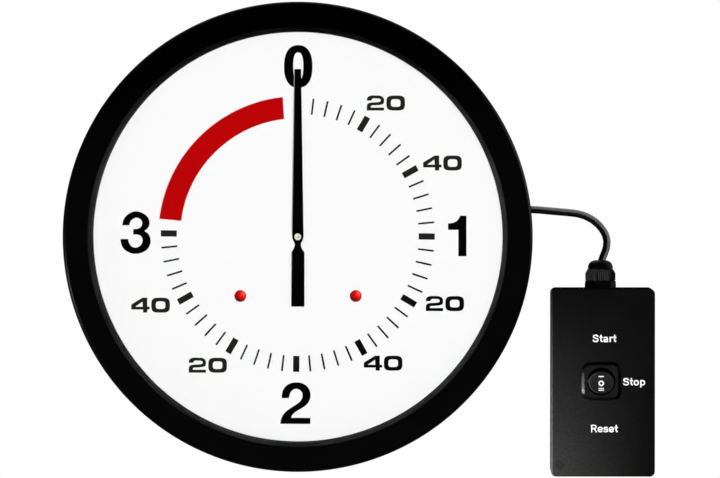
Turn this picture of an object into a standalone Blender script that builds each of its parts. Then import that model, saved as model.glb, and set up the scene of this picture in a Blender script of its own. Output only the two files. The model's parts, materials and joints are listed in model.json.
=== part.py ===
# Boxing timer: a round wall dial whose one hand turns once in four minutes, and a wired
# control box that hangs from it on a short cord. All sizes are in metres.
# Pieces are placed in the dial's own frame: +X to the right, +Y up, +Z out of the wall.
# The empty dial_frame turns that frame, so that the built object has +Z up and faces -Y.

import math

import bmesh
import bpy
from mathutils import Matrix

GAP = 0.0003                # between a piece and its seat
RUN = 0.00015               # between a shaft and its bearing, on the radius
ROUND_STEPS = 56            # facets of the dial's large rings
CASE_STEPS = 44
FINE_STEPS = 16             # facets of small turned pieces
PLAIN_STEPS = 12
SCREW_STEPS = 8
HALF_FACET = math.pi / SCREW_STEPS

# Bezel, from the outside in
CLOCK_R = 0.150
BEZEL_WALL = 0.0025
GROOVE_W = 0.0068           # hollow between the bezel's outer and inner walls
INNER_WALL = 0.0024
LIP_W = 0.0070              # how far the bezel's lip covers the lens
BEZEL_ROUND = 0.004
LIP_LAND = 0.0005           # plain edge at the foot of the inner bevel
BEVEL_W = 0.0014
BEVEL_ROUND = 0.0005
FACE_T = 0.003
BOSS_R = 0.0029
BEZEL_SCREWS = 6
SCREW_R = 0.0014
SCREW_HEAD_R = 0.0026
SCREW_HEAD_H = 0.0017
BEZEL_SCREW_L = 0.010

# Rear case
CASE_LAND = 0.0005          # the case stands this far outside the dial's edge
CASE_WALL = 0.0025
CASE_DRAFT = 0.001
CASE_EDGE = 0.004
FLOOR_T = 0.0025
FLANGE_T = 0.0025
RIB_COUNT = 6
RIB_FIRST = math.radians(5)
RIB_T = 0.0016
RIB_H = 0.004
RIB_L = 0.040
SLOT_COUNT = 6              # sound slots in the side wall
SLOT_W = 0.002
SLOT_H = 0.013
SLOT_STEP = math.radians(2.6)
SLOT_MIDDLE = math.radians(222)
PAD_W = 0.0165              # flat pads on the round wall, for the cord bush and the inlet
PAD_OUT = 0.0015
PAD_IN = 0.0040
POST_R = 0.003

# Hanging keyhole
KEYHOLE_TO_WALL = 0.025      # its round hole's middle to the inside of the case's wall
KEYHOLE_R = 0.0047
KEYHOLE_SLOT_R = 0.0026
KEYHOLE_L = 0.011
HANGER_W = 0.034
HANGER_H = 0.033
HANGER_T = 0.0012
HANGER_CORNER = 0.004
HANGER_PIN_R = 0.0015
HANGER_PIN_X = 0.0125

# Front stack
DIAL_RISE = 0.0028          # movement's front plate to the dial
DIAL_T = 0.0015
SPACER_H = 0.006
LENS_T = 0.002
LIP_T = 0.0048
SPACER_LEDGE = 0.0002       # the spacer stands this far back from the lip's edge

# Hand
HAND_T = 0.0008
HAND_RISE = 0.0031          # dial to the underside of the hand
HAND_TO_EDGE = 0.0234       # its tip to the bezel's inner edge
HAND_TIP_W = 0.0042
HAND_HUB_W = 0.0073
WAIST_W = 0.0039
WAIST_Y = -0.0046
TAIL_TOP = -0.0100
TAIL_END = -0.0444
TAIL_W = 0.0082
HAND_BORE_R = 0.0013
HUB_SCREW_R = 0.00215
HUB_SCREW_H = 0.0010
HUB_SHANK_R = 0.0009
HUB_SHANK_L = 0.0045
HUB_SLOT_W = 0.0006
HUB_SLOT_D = 0.00045

# Lamps
LAMP_X = 0.0370
LAMP_Y = -0.0380
LAMP_R = 0.0040
LAMP_FLANGE_R = 0.0047
LAMP_FLANGE_T = 0.0015
LAMP_PROUD = 0.0023
LAMP_H = 0.0112
LAMP_BOARD_W = 0.090
LAMP_BOARD_H = 0.011
BOARD_T = 0.0016
LAMP_POST_X = 0.026

# Movement
MODULE = 0.0012
WHEEL_TEETH = 40
PINION_TEETH = 10
PRESSURE = math.radians(25)
ADDENDUM = 0.9              # in modules
DEDENDUM = 1.1
BACKLASH = 0.0003
WHEEL_T = 0.0025
PINION_T = 0.0042
PLATE_T = 0.002
PLATE_W = 0.070
PLATE_LOW = -0.029
PLATE_HIGH = 0.075
PLATE_CORNER = 0.008
PLATE_CLEAR = 0.0010        # last gear to the front plate
PILLAR_INSET = 0.0065
PILLAR_R = 0.0035
SPIGOT_R = 0.0018
PILLAR_POST_R = 0.0045
PILLAR_FOOT = 0.0030        # its length in the case's post
IDLER_ANGLE = math.radians(105)
MOTOR_ANGLE = math.radians(75)
WHEEL_RISE = 0.0015         # rear plate to the underside of the centre wheel
ARBOR_R = 0.0025
ARBOR_PIVOT_R = 0.0014
COLLET_R = 0.006
THIN_ARBOR_R = 0.002
THIN_PIVOT_R = 0.0012
MOTOR_R = 0.025
MOTOR_H = 0.010
MOTOR_RISE = 0.0007         # over the case's floor
MOTOR_EDGE = 0.0010
MOTOR_SHAFT_R = 0.0015
MOTOR_EAR_Y = -0.008
MOTOR_EAR_X = 0.0275
MOTOR_EAR_L = 0.012
MOTOR_EAR_W = 0.008
MOTOR_EAR_T = 0.0014
RIVET_R = 0.0014
BUSH_FLANGE_R = 0.006
BUSH_WALL = 0.0016
BUSH_FLANGE_T = 0.0009
SPOKES = 5
SPOKE_AT = 0.0140
SPOKE_HOLE_R = 0.0045
MAGNET_R = 0.002
MAGNET_AT = 0.0165
SENSOR_W = 0.004
SENSOR_AIR = 0.0005         # sensor to the magnet's wheel

# Electronics
BOARD_X = 0.012
BOARD_TO_WALL = 0.0515       # its middle to the inside of the case's wall
BOARD_W = 0.100
BOARD_H = 0.054
BOARD_CORNER = 0.002
BOARD_Z = 0.010
BOARD_INSET = 0.005
CHIP_X = -0.022             # places on the board, from its middle
CHIP_Y = -0.004
CHIP_W = 0.030
CHIP_D = 0.009
CHIP_H = 0.0035
RELAY_X = 0.022
RELAY_Y = -0.012
RELAY_W = 0.019
RELAY_D = 0.015
RELAY_H = 0.0125
RELAY_CORNER = 0.001
STORE_X = 0.002
STORE_Y = -0.014
STORE_R = 0.005
STORE_H = 0.0125
TERMINAL_X = 0.025
TERMINAL_W = 0.026
TERMINAL_D = 0.008
TERMINAL_H = 0.009
TERMINAL_WAYS = 5
SOUNDER_R = 0.021
SOUNDER_H = 0.011
SOUNDER_TO_WALL = 0.0423     # its middle to the inside of the case's wall
SOUNDER_ANGLE = math.radians(220)
SOUNDER_HOLE_R = 0.003
SOUNDER_HOLE_L = 0.003
SOUNDER_EDGE = 0.002

# Power inlet, in the middle of the lower edge
INLET_Z = 0.0135
INLET_R = 0.004
INLET_FLANGE_R = 0.0058
INLET_FLANGE_T = 0.0015
INLET_BORE_R = 0.00275
INLET_PIN_R = 0.001
INLET_L = 0.013
INLET_BORE_L = 0.009

# Control cord
CORD_R = 0.0024
CORD_Y = 0.0173
CORD_Z = 0.0185
BUSH_R = 0.0043
BUSH_HEAD_R = 0.0062
BUSH_HEAD_T = 0.002
BUSH_NOSE_R = 0.0034
BUSH_NOSE_L = 0.0045
BUSH_TAIL_L = 0.004
BUSH_COLLAR = 0.0012

# Control box
BOX_REACH = 0.0446          # dial's edge to the middle of the box
BOX_Y = -0.0926
BOX_W = 0.0663
BOX_H = 0.120
BOX_D = 0.040
BOX_BACK = 0.001            # its lid stands this far off the wall
BOX_WALL = 0.0024
BOX_CORNER = 0.0034
BOX_EDGE = 0.0010
LID_T = 0.003
BOX_BOSS_X = 0.0053         # from the sides
BOX_BOSS_Y = 0.0070         # from the ends
BOX_BOSS_R = 0.0034
LID_SCREW_HEAD_R = 0.0028
LID_SCREW_L = 0.011
LID_RIB_L = 0.070
LID_RIB_H = 0.003
LID_RIB_T = 0.0016

# Cable gland on the box
GLAND_X = -0.0014           # from the middle of the box
GLAND_THREAD_R = 0.00625
GLAND_BORE_R = 0.0042
GLAND_FLANGE_W = 0.0182     # across its flats
GLAND_TURN = 0.12
GLAND_FLANGE_T = 0.0036
GLAND_NECK_L = 0.0050
GLAND_TAIL_L = 0.0080
NUT_W = 0.0168              # across the flats
NUT_TURN = 0.16
NUT_HEX_H = 0.0048
NUT_CHAMFER_H = 0.0016
DOME_R = 0.0081
DOME_TAPER = 0.0006
DOME_BASE_H = 0.0040
DOME_H = 0.0032
MOUTH_R = 0.0030
MOUTH_FLARE = 0.0004
MOUTH_L = 0.0042
SEAL_L = 0.0090
LOCKNUT_W = 0.018
LOCKNUT_T = 0.004

SWING_RISE = 0.0175         # gland to the point of the cord that the box swings about

# Rocker switch
SWITCH_X = -0.0007          # from the middle of the box
SWITCH_Y = 0.0006
FRAME_W = 0.0247
FRAME_H = 0.0030
FRAME_CORNER = 0.0042
FRAME_EDGE = 0.0012
WELL_R = 0.00845
HOUSING_R = 0.0096
HOUSING_D = 0.0175          # behind the face of the box
HOUSING_FLOOR = 0.002
RING_NUT_R = 0.0122
RING_NUT_T = 0.0035
ROCKER_W = 0.0156
ROCKER_L = 0.0138
ROCKER_PROUD = 0.0025       # over the frame
ROCKER_DISH = 0.0010
ROCKER_T = 0.0070
CHEEK_W = 0.0146
CHEEK_L = 0.0052
PIVOT_DEPTH = 0.0025        # behind the face of the box
TRUNNION_R = 0.0011
TRUNNION_L = 0.0011
TRUNNION_PLAY = 0.0002
SLEEVE_R = 0.0030
SLEEVE_L = 0.0072           # below the pivot
SLEEVE_BORE_R = 0.0021
SLEEVE_ROOF = 0.0004        # between the bore and the trunnions
SPRING_R = 0.0014
SPRING_WIRE_R = 0.0002
SPRING_TURNS = 3
SPRING_LOOP_POINTS = 8
PLUNGER_R = 0.0015
PLUNGER_L = 0.0024
LEVER_RISE = 0.0040         # floor of the housing to the underside of the lever
LEVER_W = 0.0045
LEVER_L = 0.0110
LEVER_T = 0.0006
LEVER_DIP = 0.0004
BLADE_W = 0.0042
BLADE_T = 0.0008
BLADE_TAIL = 0.007
BLADE_AT = 0.0052
CONTACT_GAP = 0.0010

# Levels out of the wall, from the back of the case to the lip of the bezel
motor_z = FLOOR_T + MOTOR_RISE
rear_plate_z = motor_z + MOTOR_H + GAP
rear_plate_top = rear_plate_z + PLATE_T
wheel_z = rear_plate_top + WHEEL_RISE
idler_pinion_z = wheel_z - (PINION_T - WHEEL_T) / 2 + GAP
idler_z = idler_pinion_z + PINION_T + GAP
motor_pinion_z = idler_z - (PINION_T - WHEEL_T) / 2 + GAP
front_plate_z = motor_pinion_z + PINION_T - 2 * GAP + PLATE_CLEAR
front_plate_top = front_plate_z + PLATE_T
dial_z = front_plate_top + DIAL_RISE
flange_z = dial_z - GAP
case_depth = flange_z - FLANGE_T
dial_face = dial_z + DIAL_T
spacer_z = dial_face + GAP
lens_z = spacer_z + SPACER_H + GAP
lip_z = lens_z + LENS_T + GAP
front_z = lip_z + LIP_T
hand_z = dial_face + HAND_RISE
lamp_board_z = dial_face + LAMP_PROUD - LAMP_H - GAP - BOARD_T
face_z = BOX_BACK + BOX_D

# Radii of the clock
groove_r = CLOCK_R - BEZEL_WALL
inner_wall_r = groove_r - GROOVE_W
disc_r = inner_wall_r - INNER_WALL - GAP
sight_r = disc_r + GAP - LIP_W
case_r = disc_r + CASE_LAND
case_in_r = case_r - CASE_WALL
screw_ring_r = groove_r - GROOVE_W / 2
keyhole_y = case_in_r - KEYHOLE_TO_WALL
board_y = BOARD_TO_WALL - case_in_r
sounder_at = ((case_in_r - SOUNDER_TO_WALL) * math.cos(SOUNDER_ANGLE),
              (case_in_r - SOUNDER_TO_WALL) * math.sin(SOUNDER_ANGLE))

# Gear centres
wheel_r = MODULE * WHEEL_TEETH / 2
pinion_r = MODULE * PINION_TEETH / 2
centres = wheel_r + pinion_r
idler_at = (centres * math.cos(IDLER_ANGLE), centres * math.sin(IDLER_ANGLE))
motor_at = (
    idler_at[0] + centres * math.cos(MOTOR_ANGLE),
    idler_at[1] + centres * math.sin(MOTOR_ANGLE),
)

# Control box
box_x = CLOCK_R + BOX_REACH
box_top = BOX_Y + BOX_H / 2
gland_at = (box_x + GLAND_X, box_top, BOX_BACK + BOX_D / 2)
switch_at = (box_x + SWITCH_X, BOX_Y + SWITCH_Y)
pivot_z = face_z - PIVOT_DEPTH
lever_z = face_z - HOUSING_D + HOUSING_FLOOR + LEVER_RISE
nut_top = GAP + GLAND_FLANGE_T + GAP + NUT_HEX_H + NUT_CHAMFER_H + DOME_BASE_H + DOME_H
seal_top = nut_top - MOUTH_L - GAP
swing_at = (box_x, box_top + nut_top + SWING_RISE)
bush_end = case_r + PAD_OUT + GAP + BUSH_HEAD_T + BUSH_NOSE_L

# The cord's route, in the dial frame: out of the bush, over and down into the gland. The
# first of each middle point's numbers is how far it is beyond the dial's edge.
CORD_MIDDLE = [
    (0.0030, 0.0171, 0.0185),
    (0.0110, 0.0164, 0.0186),
    (0.0190, 0.0157, 0.0188),
    (0.0245, 0.0152, 0.0191),
    (0.0300, 0.0142, 0.0194),
    (0.0355, 0.0120, 0.0198),
    (0.0402, 0.0087, 0.0202),
    (0.0438, 0.0043, 0.0205),
    (0.0459, -0.0002, 0.0208),
    (0.0462, -0.0052, 0.0210),
    (0.0451, -0.0098, 0.0210),
    (0.0438, -0.0139, 0.0210),
]
cord_route = [
    (bush_end + GAP, CORD_Y, CORD_Z),
    *[(CLOCK_R + x, y, z) for x, y, z in CORD_MIDDLE],
    (gland_at[0], box_top + seal_top + GAP + CORD_R, gland_at[2]),
    (gland_at[0], box_top + seal_top + GAP, gland_at[2]),
]
CORD_STEPS = 2


def make_collection(name):
    made = bpy.data.collections.new(name)
    bpy.context.scene.collection.children.link(made)
    return made


def make_material(name, colour, roughness, metallic=0.0, alpha=1.0):
    made = bpy.data.materials.new(name)
    made.use_nodes = True
    shader = made.node_tree.nodes["Principled BSDF"]
    shader.inputs["Base Color"].default_value = (*colour, 1.0)
    shader.inputs["Roughness"].default_value = roughness
    shader.inputs["Metallic"].default_value = metallic
    shader.inputs["Alpha"].default_value = alpha
    return made


for old in list(bpy.data.objects):
    bpy.data.objects.remove(old, do_unlink=True)

parts = make_collection("boxing_timer")
cutters = make_collection("cutters")

MATERIALS = {
    "black_abs": make_material("black_abs", (0.010, 0.010, 0.010), 0.45),
    "charcoal_abs": make_material("charcoal_abs", (0.018, 0.018, 0.018), 0.5),
    "black_nylon": make_material("black_nylon", (0.012, 0.012, 0.012), 0.4),
    "black_rubber": make_material("black_rubber", (0.010, 0.010, 0.010), 0.7),
    "black_pvc": make_material("black_pvc", (0.012, 0.012, 0.012), 0.35),
    "acrylic": make_material("acrylic", (0.9, 0.9, 0.9), 0.02, 0.0, 0.2),
    "white_dial": make_material("white_dial", (0.9, 0.9, 0.9), 0.4),
    "black_hand": make_material("black_hand", (0.012, 0.012, 0.012), 0.35, 0.3),
    "brass": make_material("brass", (0.78, 0.57, 0.28), 0.3, 1.0),
    "steel": make_material("steel", (0.6, 0.6, 0.62), 0.3, 1.0),
    "acetal": make_material("acetal", (0.75, 0.74, 0.70), 0.4),
    "red_lamp": make_material("red_lamp", (0.75, 0.02, 0.02), 0.15),
    "green_board": make_material("green_board", (0.02, 0.16, 0.06), 0.5),
    "tin": make_material("tin", (0.7, 0.7, 0.7), 0.35, 1.0),
}


def frame_empty(name, parent=None, at=(0, 0, 0), turn=(0, 0, 0)):
    made = bpy.data.objects.new(name, None)
    made.empty_display_size = 0.01
    parts.objects.link(made)
    made.parent = parent
    made.location = at
    made.rotation_euler = turn
    return made


def from_swing(x, y, z):
    return (x - swing_at[0], y - swing_at[1], z)


dial_frame = frame_empty("dial_frame", turn=(math.pi / 2, 0, 0))
hand_axis = frame_empty("hand_axis", dial_frame)
idler_axis = frame_empty("idler_axis", dial_frame, (*idler_at, 0))
motor_axis = frame_empty("motor_axis", dial_frame, (*motor_at, 0))
swing_axis = frame_empty("swing_axis", dial_frame, (*swing_at, 0))
box_frame = frame_empty("box_frame", swing_axis, from_swing(box_x, BOX_Y, 0))
gland_axis = frame_empty("gland_axis", swing_axis, from_swing(*gland_at), (-math.pi / 2, 0, 0))
rocker_axis = frame_empty("rocker_axis", swing_axis, from_swing(*switch_at, pivot_z))
lever_axis = frame_empty("lever_axis", swing_axis, from_swing(*switch_at, lever_z))


def add(name, data, material=None, parent=dial_frame, at=(0, 0, 0), turn=(0, 0, 0)):
    """A part with its material, or, with no material, a helper for a Boolean."""
    made = bpy.data.objects.new(name, data)
    if material:
        parts.objects.link(made)
        data.materials.append(MATERIALS[material])
    else:
        cutters.objects.link(made)
        made.hide_render = True
        made.display_type = "WIRE"
    made.parent = parent
    made.location = at
    made.rotation_euler = turn
    return made


def turned(name, profile, steps, *place, **where):
    """A body of revolution about its own Z. The profile holds (radius, height) points that
    run down its outer side; it is a closed ring unless it starts on the axis."""
    mesh = bpy.data.meshes.new(name)
    count = len(profile)
    edges = [(i, i + 1) for i in range(count - 1)]
    if profile[0][0] > 0:
        edges.append((count - 1, 0))
    mesh.from_pydata([(r, 0, h) for r, h in profile], edges, [])
    made = add(name, mesh, *place, **where)
    screw = made.modifiers.new("Turn", "SCREW")
    screw.steps = screw.render_steps = steps
    screw.use_merge_vertices = True
    screw.merge_threshold = 0.00001
    return made


def flat(name, loops, thickness, *place, **where):
    """A flat plate, its back at the height of its place, from an outline and its holes."""
    curve = bpy.data.curves.new(name, "CURVE")
    curve.dimensions = "2D"
    curve.fill_mode = "BOTH"
    curve.extrude = thickness / 2
    for loop in loops:
        spline = curve.splines.new("POLY")
        spline.points.add(len(loop) - 1)
        for point, (x, y) in zip(spline.points, loop):
            point.co = (x, y, 0, 1)
        spline.use_cyclic_u = True
    made = add(name, curve, *place, **where)
    made.location.z += thickness / 2
    return made


def block(name, size, *place, corner=0, corner_steps=3, edge=0, edge_steps=2, **where):
    """A box about its place, with its upright edges rounded by corner and its front rim by
    edge."""
    shape = bmesh.new()
    bmesh.ops.create_cube(shape, size=1, matrix=Matrix.Diagonal((*size, 1)))
    if corner:
        upright = [e for e in shape.edges if abs((e.verts[0].co - e.verts[1].co).z) > size[2] / 2]
        bmesh.ops.bevel(shape, geom=upright, offset=corner, segments=corner_steps,
                        profile=0.5, affect="EDGES")
    if edge:
        rim = [e for e in shape.edges if min(v.co.z for v in e.verts) > size[2] / 2 - 1e-6]
        bmesh.ops.bevel(shape, geom=rim, offset=edge, segments=edge_steps, profile=0.5,
                        affect="EDGES")
    mesh = bpy.data.meshes.new(name)
    shape.to_mesh(mesh)
    shape.free()
    return add(name, mesh, *place, **where)


def rod(name, radius, length, steps, *place, top_radius=None, **where):
    """A cylinder or cone that stands on its place."""
    shape = bmesh.new()
    bmesh.ops.create_cone(shape, cap_ends=True, segments=steps, radius1=radius,
                          radius2=radius if top_radius is None else top_radius, depth=length,
                          matrix=Matrix.Translation((0, 0, length / 2)))
    mesh = bpy.data.meshes.new(name)
    shape.to_mesh(mesh)
    shape.free()
    return add(name, mesh, *place, **where)


def as_mesh(obj):
    """The object with its modifiers applied and, for a curve, its caps joined on."""
    bpy.context.view_layer.update()
    graph = bpy.context.evaluated_depsgraph_get()
    mesh = bpy.data.meshes.new_from_object(obj.evaluated_get(graph))
    shape = bmesh.new()
    shape.from_mesh(mesh)
    bmesh.ops.remove_doubles(shape, verts=shape.verts, dist=1e-7)
    shape.to_mesh(mesh)
    shape.free()
    if obj.type == "MESH":
        obj.modifiers.clear()
        obj.data = mesh
        return obj
    name = obj.name
    made = bpy.data.objects.new(name + "_mesh", mesh)
    for home in obj.users_collection:
        home.objects.link(made)
    made.parent = obj.parent
    made.location = obj.location
    made.rotation_euler = obj.rotation_euler
    made.hide_render = obj.hide_render
    made.display_type = obj.display_type
    bpy.data.objects.remove(obj, do_unlink=True)
    made.name = name
    return made


def combine(obj, operation, others):
    for other in others:
        step = obj.modifiers.new(other.name, "BOOLEAN")
        step.operation = operation
        step.object = other
    return obj


def cut(obj, *others):
    return combine(obj, "DIFFERENCE", others)


def join(obj, *others):
    return combine(obj, "UNION", others)


def smooth(obj):
    """Round faces shaded smooth, edges over 40 degrees left sharp."""
    made = as_mesh(obj)
    made.data.shade_smooth()
    made.data.set_sharp_from_angle(angle=math.radians(40))
    return made


def arc(centre, radius, start, end, steps):
    """Points along an arc, both ends included; the angles are in degrees."""
    return [
        (centre[0] + radius * math.cos(math.radians(start + (end - start) * i / steps)),
         centre[1] + radius * math.sin(math.radians(start + (end - start) * i / steps)))
        for i in range(steps + 1)
    ]


def circle(x, y, radius, steps):
    return [(x + radius * math.cos(2 * math.pi * i / steps),
             y + radius * math.sin(2 * math.pi * i / steps)) for i in range(steps)]


def rounded_rectangle(x, y, width, height, corner, steps):
    points = []
    for sx, sy, start in ((1, 1, 0), (-1, 1, 90), (-1, -1, 180), (1, -1, 270)):
        middle = (x + sx * (width / 2 - corner), y + sy * (height / 2 - corner))
        points += arc(middle, corner, start, start + 90, steps)
    return points


def polar(radius, angle):
    return (radius * math.cos(angle), radius * math.sin(angle))


def involute(angle):
    return math.tan(angle) - angle


def gear_outline(teeth, phase):
    """A spur gear's outline: involute flanks down to the base circle, radial below it. A
    tooth stands at the angle phase. A wheel's flanks are nearly straight, so two points do."""
    pitch = MODULE * teeth / 2
    base = pitch * math.cos(PRESSURE)
    tip = pitch + ADDENDUM * MODULE
    root = pitch - DEDENDUM * MODULE
    flank = [root, tip] if root > base else [root, base, tip]
    half = (math.pi * MODULE - BACKLASH) / (4 * pitch)

    def half_angle(radius):
        slope = math.acos(min(1.0, base / radius))
        return half + involute(PRESSURE) - involute(slope)

    points = []
    for tooth in range(teeth):
        middle = phase + 2 * math.pi * tooth / teeth
        points += [polar(r, middle - half_angle(r)) for r in flank]
        points += [polar(r, middle + half_angle(r)) for r in reversed(flank)]
    return points


def keyhole():
    """A keyhole for a wall screw: a round hole with a narrower slot above it."""
    meet = math.degrees(math.asin(KEYHOLE_SLOT_R / KEYHOLE_R))
    below = arc((0, keyhole_y), KEYHOLE_R, 90 + meet, 450 - meet, 10)
    return below + arc((0, keyhole_y + KEYHOLE_L), KEYHOLE_SLOT_R, 0, 180, 4)


def ring_of(count, offset=0.0):
    return [offset + 2 * math.pi * i / count for i in range(count)]


def board_corners():
    return [(BOARD_X + sx * (BOARD_W / 2 - BOARD_INSET), board_y + sy * (BOARD_H / 2 - BOARD_INSET))
            for sx in (-1, 1) for sy in (-1, 1)]


def pillar_places():
    x = PLATE_W / 2 - PILLAR_INSET
    return [(sx * x, y) for sx in (-1, 1)
            for y in (PLATE_LOW + PILLAR_INSET, PLATE_HIGH - PILLAR_INSET)]


def screw_places():
    return [polar(screw_ring_r, angle) for angle in ring_of(BEZEL_SCREWS, math.pi / BEZEL_SCREWS)]


def build_rear_case():
    """The moulded pan that carries everything and hangs on the wall."""
    edge = arc((case_r - CASE_DRAFT - CASE_EDGE, CASE_EDGE), CASE_EDGE, 0, -90, 2)
    profile = [
        (0, FLOOR_T),
        (case_in_r - CASE_DRAFT, FLOOR_T),
        (case_in_r, flange_z),
        (groove_r - GAP, flange_z),
        (groove_r - GAP, case_depth),
        (case_r, case_depth),
        *edge,
        (0, 0),
    ]
    case = turned("rear_case", profile, CASE_STEPS, "black_abs")
    sunk = FLOOR_T / 2

    def post(name, x, y, top, radius):
        return rod(name, radius, top - sunk, SCREW_STEPS, at=(x, y, sunk))

    added, taken = [], []
    for i, (x, y) in enumerate(pillar_places()):
        added.append(post(f"pillar_post_{i}", x, y, rear_plate_z - GAP, PILLAR_POST_R))
        taken.append(rod(f"pillar_post_hole_{i}", SPIGOT_R + GAP, 3 * PLATE_T, SCREW_STEPS,
                         at=(x, y, rear_plate_z - PILLAR_FOOT - 2 * GAP)))
    for i, (x, y) in enumerate(board_corners()):
        added.append(post(f"board_post_{i}", x, y, BOARD_Z - GAP, POST_R))
    for side in (-1, 1):
        added.append(post(f"lamp_post_{side}", side * LAMP_POST_X, LAMP_Y, lamp_board_z - GAP,
                          POST_R))
        added.append(post(f"hanger_pin_{side}", side * HANGER_PIN_X, keyhole_y,
                          FLOOR_T + GAP + HANGER_T, HANGER_PIN_R))
    for i, angle in enumerate(ring_of(RIB_COUNT, RIB_FIRST)):
        x, y = polar(case_in_r - RIB_L / 2, angle)
        added.append(block(f"rib_{i}", (RIB_L, RIB_T, RIB_H + sunk),
                           at=(x, y, sunk + (RIB_H + sunk) / 2), turn=(0, 0, angle)))
    pad_depth = PAD_OUT + CASE_WALL + PAD_IN
    pad_mid = case_r + PAD_OUT - pad_depth / 2
    added.append(block("cord_pad", (pad_depth, PAD_W, PAD_W), at=(pad_mid, CORD_Y, CORD_Z)))
    added.append(block("inlet_pad", (PAD_W, pad_depth, PAD_W), at=(0, -pad_mid, INLET_Z)))
    taken.append(rod("cord_hole", BUSH_R + GAP, 2 * PAD_W, PLAIN_STEPS,
                     at=(case_r - PAD_W, CORD_Y, CORD_Z), turn=(0, math.pi / 2, 0)))
    taken.append(rod("inlet_hole", INLET_R + GAP, 2 * PAD_W, PLAIN_STEPS,
                     at=(0, PAD_W - case_r, INLET_Z), turn=(math.pi / 2, 0, 0)))
    for i, (x, y) in enumerate(screw_places()):
        taken.append(rod(f"flange_hole_{i}", SCREW_R + GAP, 3 * FLANGE_T, SCREW_STEPS,
                         at=(x, y, case_depth - FLANGE_T), turn=(0, 0, HALF_FACET)))
    for i in range(SLOT_COUNT):
        angle = SLOT_MIDDLE + (i - (SLOT_COUNT - 1) / 2) * SLOT_STEP
        x, y = polar(case_r, angle)
        taken.append(block(f"sound_slot_{i}", (4 * CASE_WALL, SLOT_W, SLOT_H),
                           at=(x, y, (case_depth + FLOOR_T) / 2), turn=(0, 0, angle)))
    taken.append(as_mesh(flat("keyhole", [keyhole()], 3 * FLOOR_T, at=(0, 0, -FLOOR_T))))
    cut(join(case, *added), *taken)
    smooth(case)


def build_hanger_plate():
    pins = [circle(side * HANGER_PIN_X, keyhole_y, HANGER_PIN_R + GAP, SCREW_STEPS)
            for side in (-1, 1)]
    outline = rounded_rectangle(0, keyhole_y + KEYHOLE_L / 2, HANGER_W, HANGER_H,
                                HANGER_CORNER, 2)
    flat("hanger_plate", [outline, keyhole(), *pins], HANGER_T, "steel",
         at=(0, 0, FLOOR_T + GAP))


def build_bezel():
    """The front ring: a hollow moulding, open at the back, whose lip holds the lens down."""
    groove_top = front_z - FACE_T
    outer = arc((CLOCK_R - BEZEL_ROUND, front_z - BEZEL_ROUND), BEZEL_ROUND, 90, 0, 3)
    profile = [
        *outer,
        (CLOCK_R, case_depth),
        (groove_r, case_depth),
        (groove_r, groove_top),
        (inner_wall_r, groove_top),
        (inner_wall_r, flange_z + GAP),
        (disc_r + GAP, flange_z + GAP),
        (disc_r + GAP, lip_z),
        (sight_r, lip_z),
        (sight_r, lip_z + LIP_LAND),
        (sight_r + BEVEL_W, front_z - BEVEL_ROUND),
        (sight_r + BEVEL_W + BEVEL_ROUND, front_z),
    ]
    bezel = turned("bezel", profile, ROUND_STEPS, "black_abs")
    bosses, holes = [], []
    boss_l = groove_top + FACE_T / 2 - flange_z - GAP
    for i, (x, y) in enumerate(screw_places()):
        bosses.append(rod(f"bezel_boss_{i}", BOSS_R, boss_l, SCREW_STEPS,
                          at=(x, y, flange_z + GAP), turn=(0, 0, HALF_FACET)))
        holes.append(rod(f"bezel_boss_hole_{i}", SCREW_R + GAP, BEZEL_SCREW_L + GAP, SCREW_STEPS,
                         at=(x, y, case_depth), turn=(0, 0, HALF_FACET)))
    cut(join(bezel, *bosses), *holes)
    smooth(bezel)


def pan_screw(name, x, y, seat_z, length, parent=dial_frame):
    """A pan-head screw driven forwards from behind; its head is under seat_z."""
    profile = [
        (0, length),
        (SCREW_R, length),
        (SCREW_R, -GAP),
        (SCREW_HEAD_R, -GAP),
        (SCREW_HEAD_R, -GAP - SCREW_HEAD_H),
        (0, -GAP - SCREW_HEAD_H),
    ]
    smooth(turned(name, profile, SCREW_STEPS, "steel", parent, (x, y, seat_z)))


def build_front():
    """What the bezel holds: dial, spacer and lens."""
    holes = [circle(0, 0, ARBOR_R + 2 * GAP, PLAIN_STEPS)]
    holes += [circle(side * LAMP_X, LAMP_Y, LAMP_R + GAP, FINE_STEPS) for side in (-1, 1)]
    flat("dial_plate", [circle(0, 0, disc_r, ROUND_STEPS), *holes], DIAL_T, "white_dial",
         at=(0, 0, dial_z))
    spacer_in = sight_r + SPACER_LEDGE
    ring = [(disc_r, SPACER_H), (disc_r, 0), (spacer_in, 0), (spacer_in, SPACER_H)]
    smooth(turned("dial_spacer", ring, ROUND_STEPS, "black_abs", at=(0, 0, spacer_z)))
    disc = [(0, LENS_T), (disc_r, LENS_T), (disc_r, 0), (0, 0)]
    smooth(turned("lens", disc, ROUND_STEPS, "acrylic", at=(0, 0, lens_z)))
    for i, (x, y) in enumerate(screw_places()):
        pan_screw(f"bezel_screw_{i + 1}", x, y, case_depth, BEZEL_SCREW_L)


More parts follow.
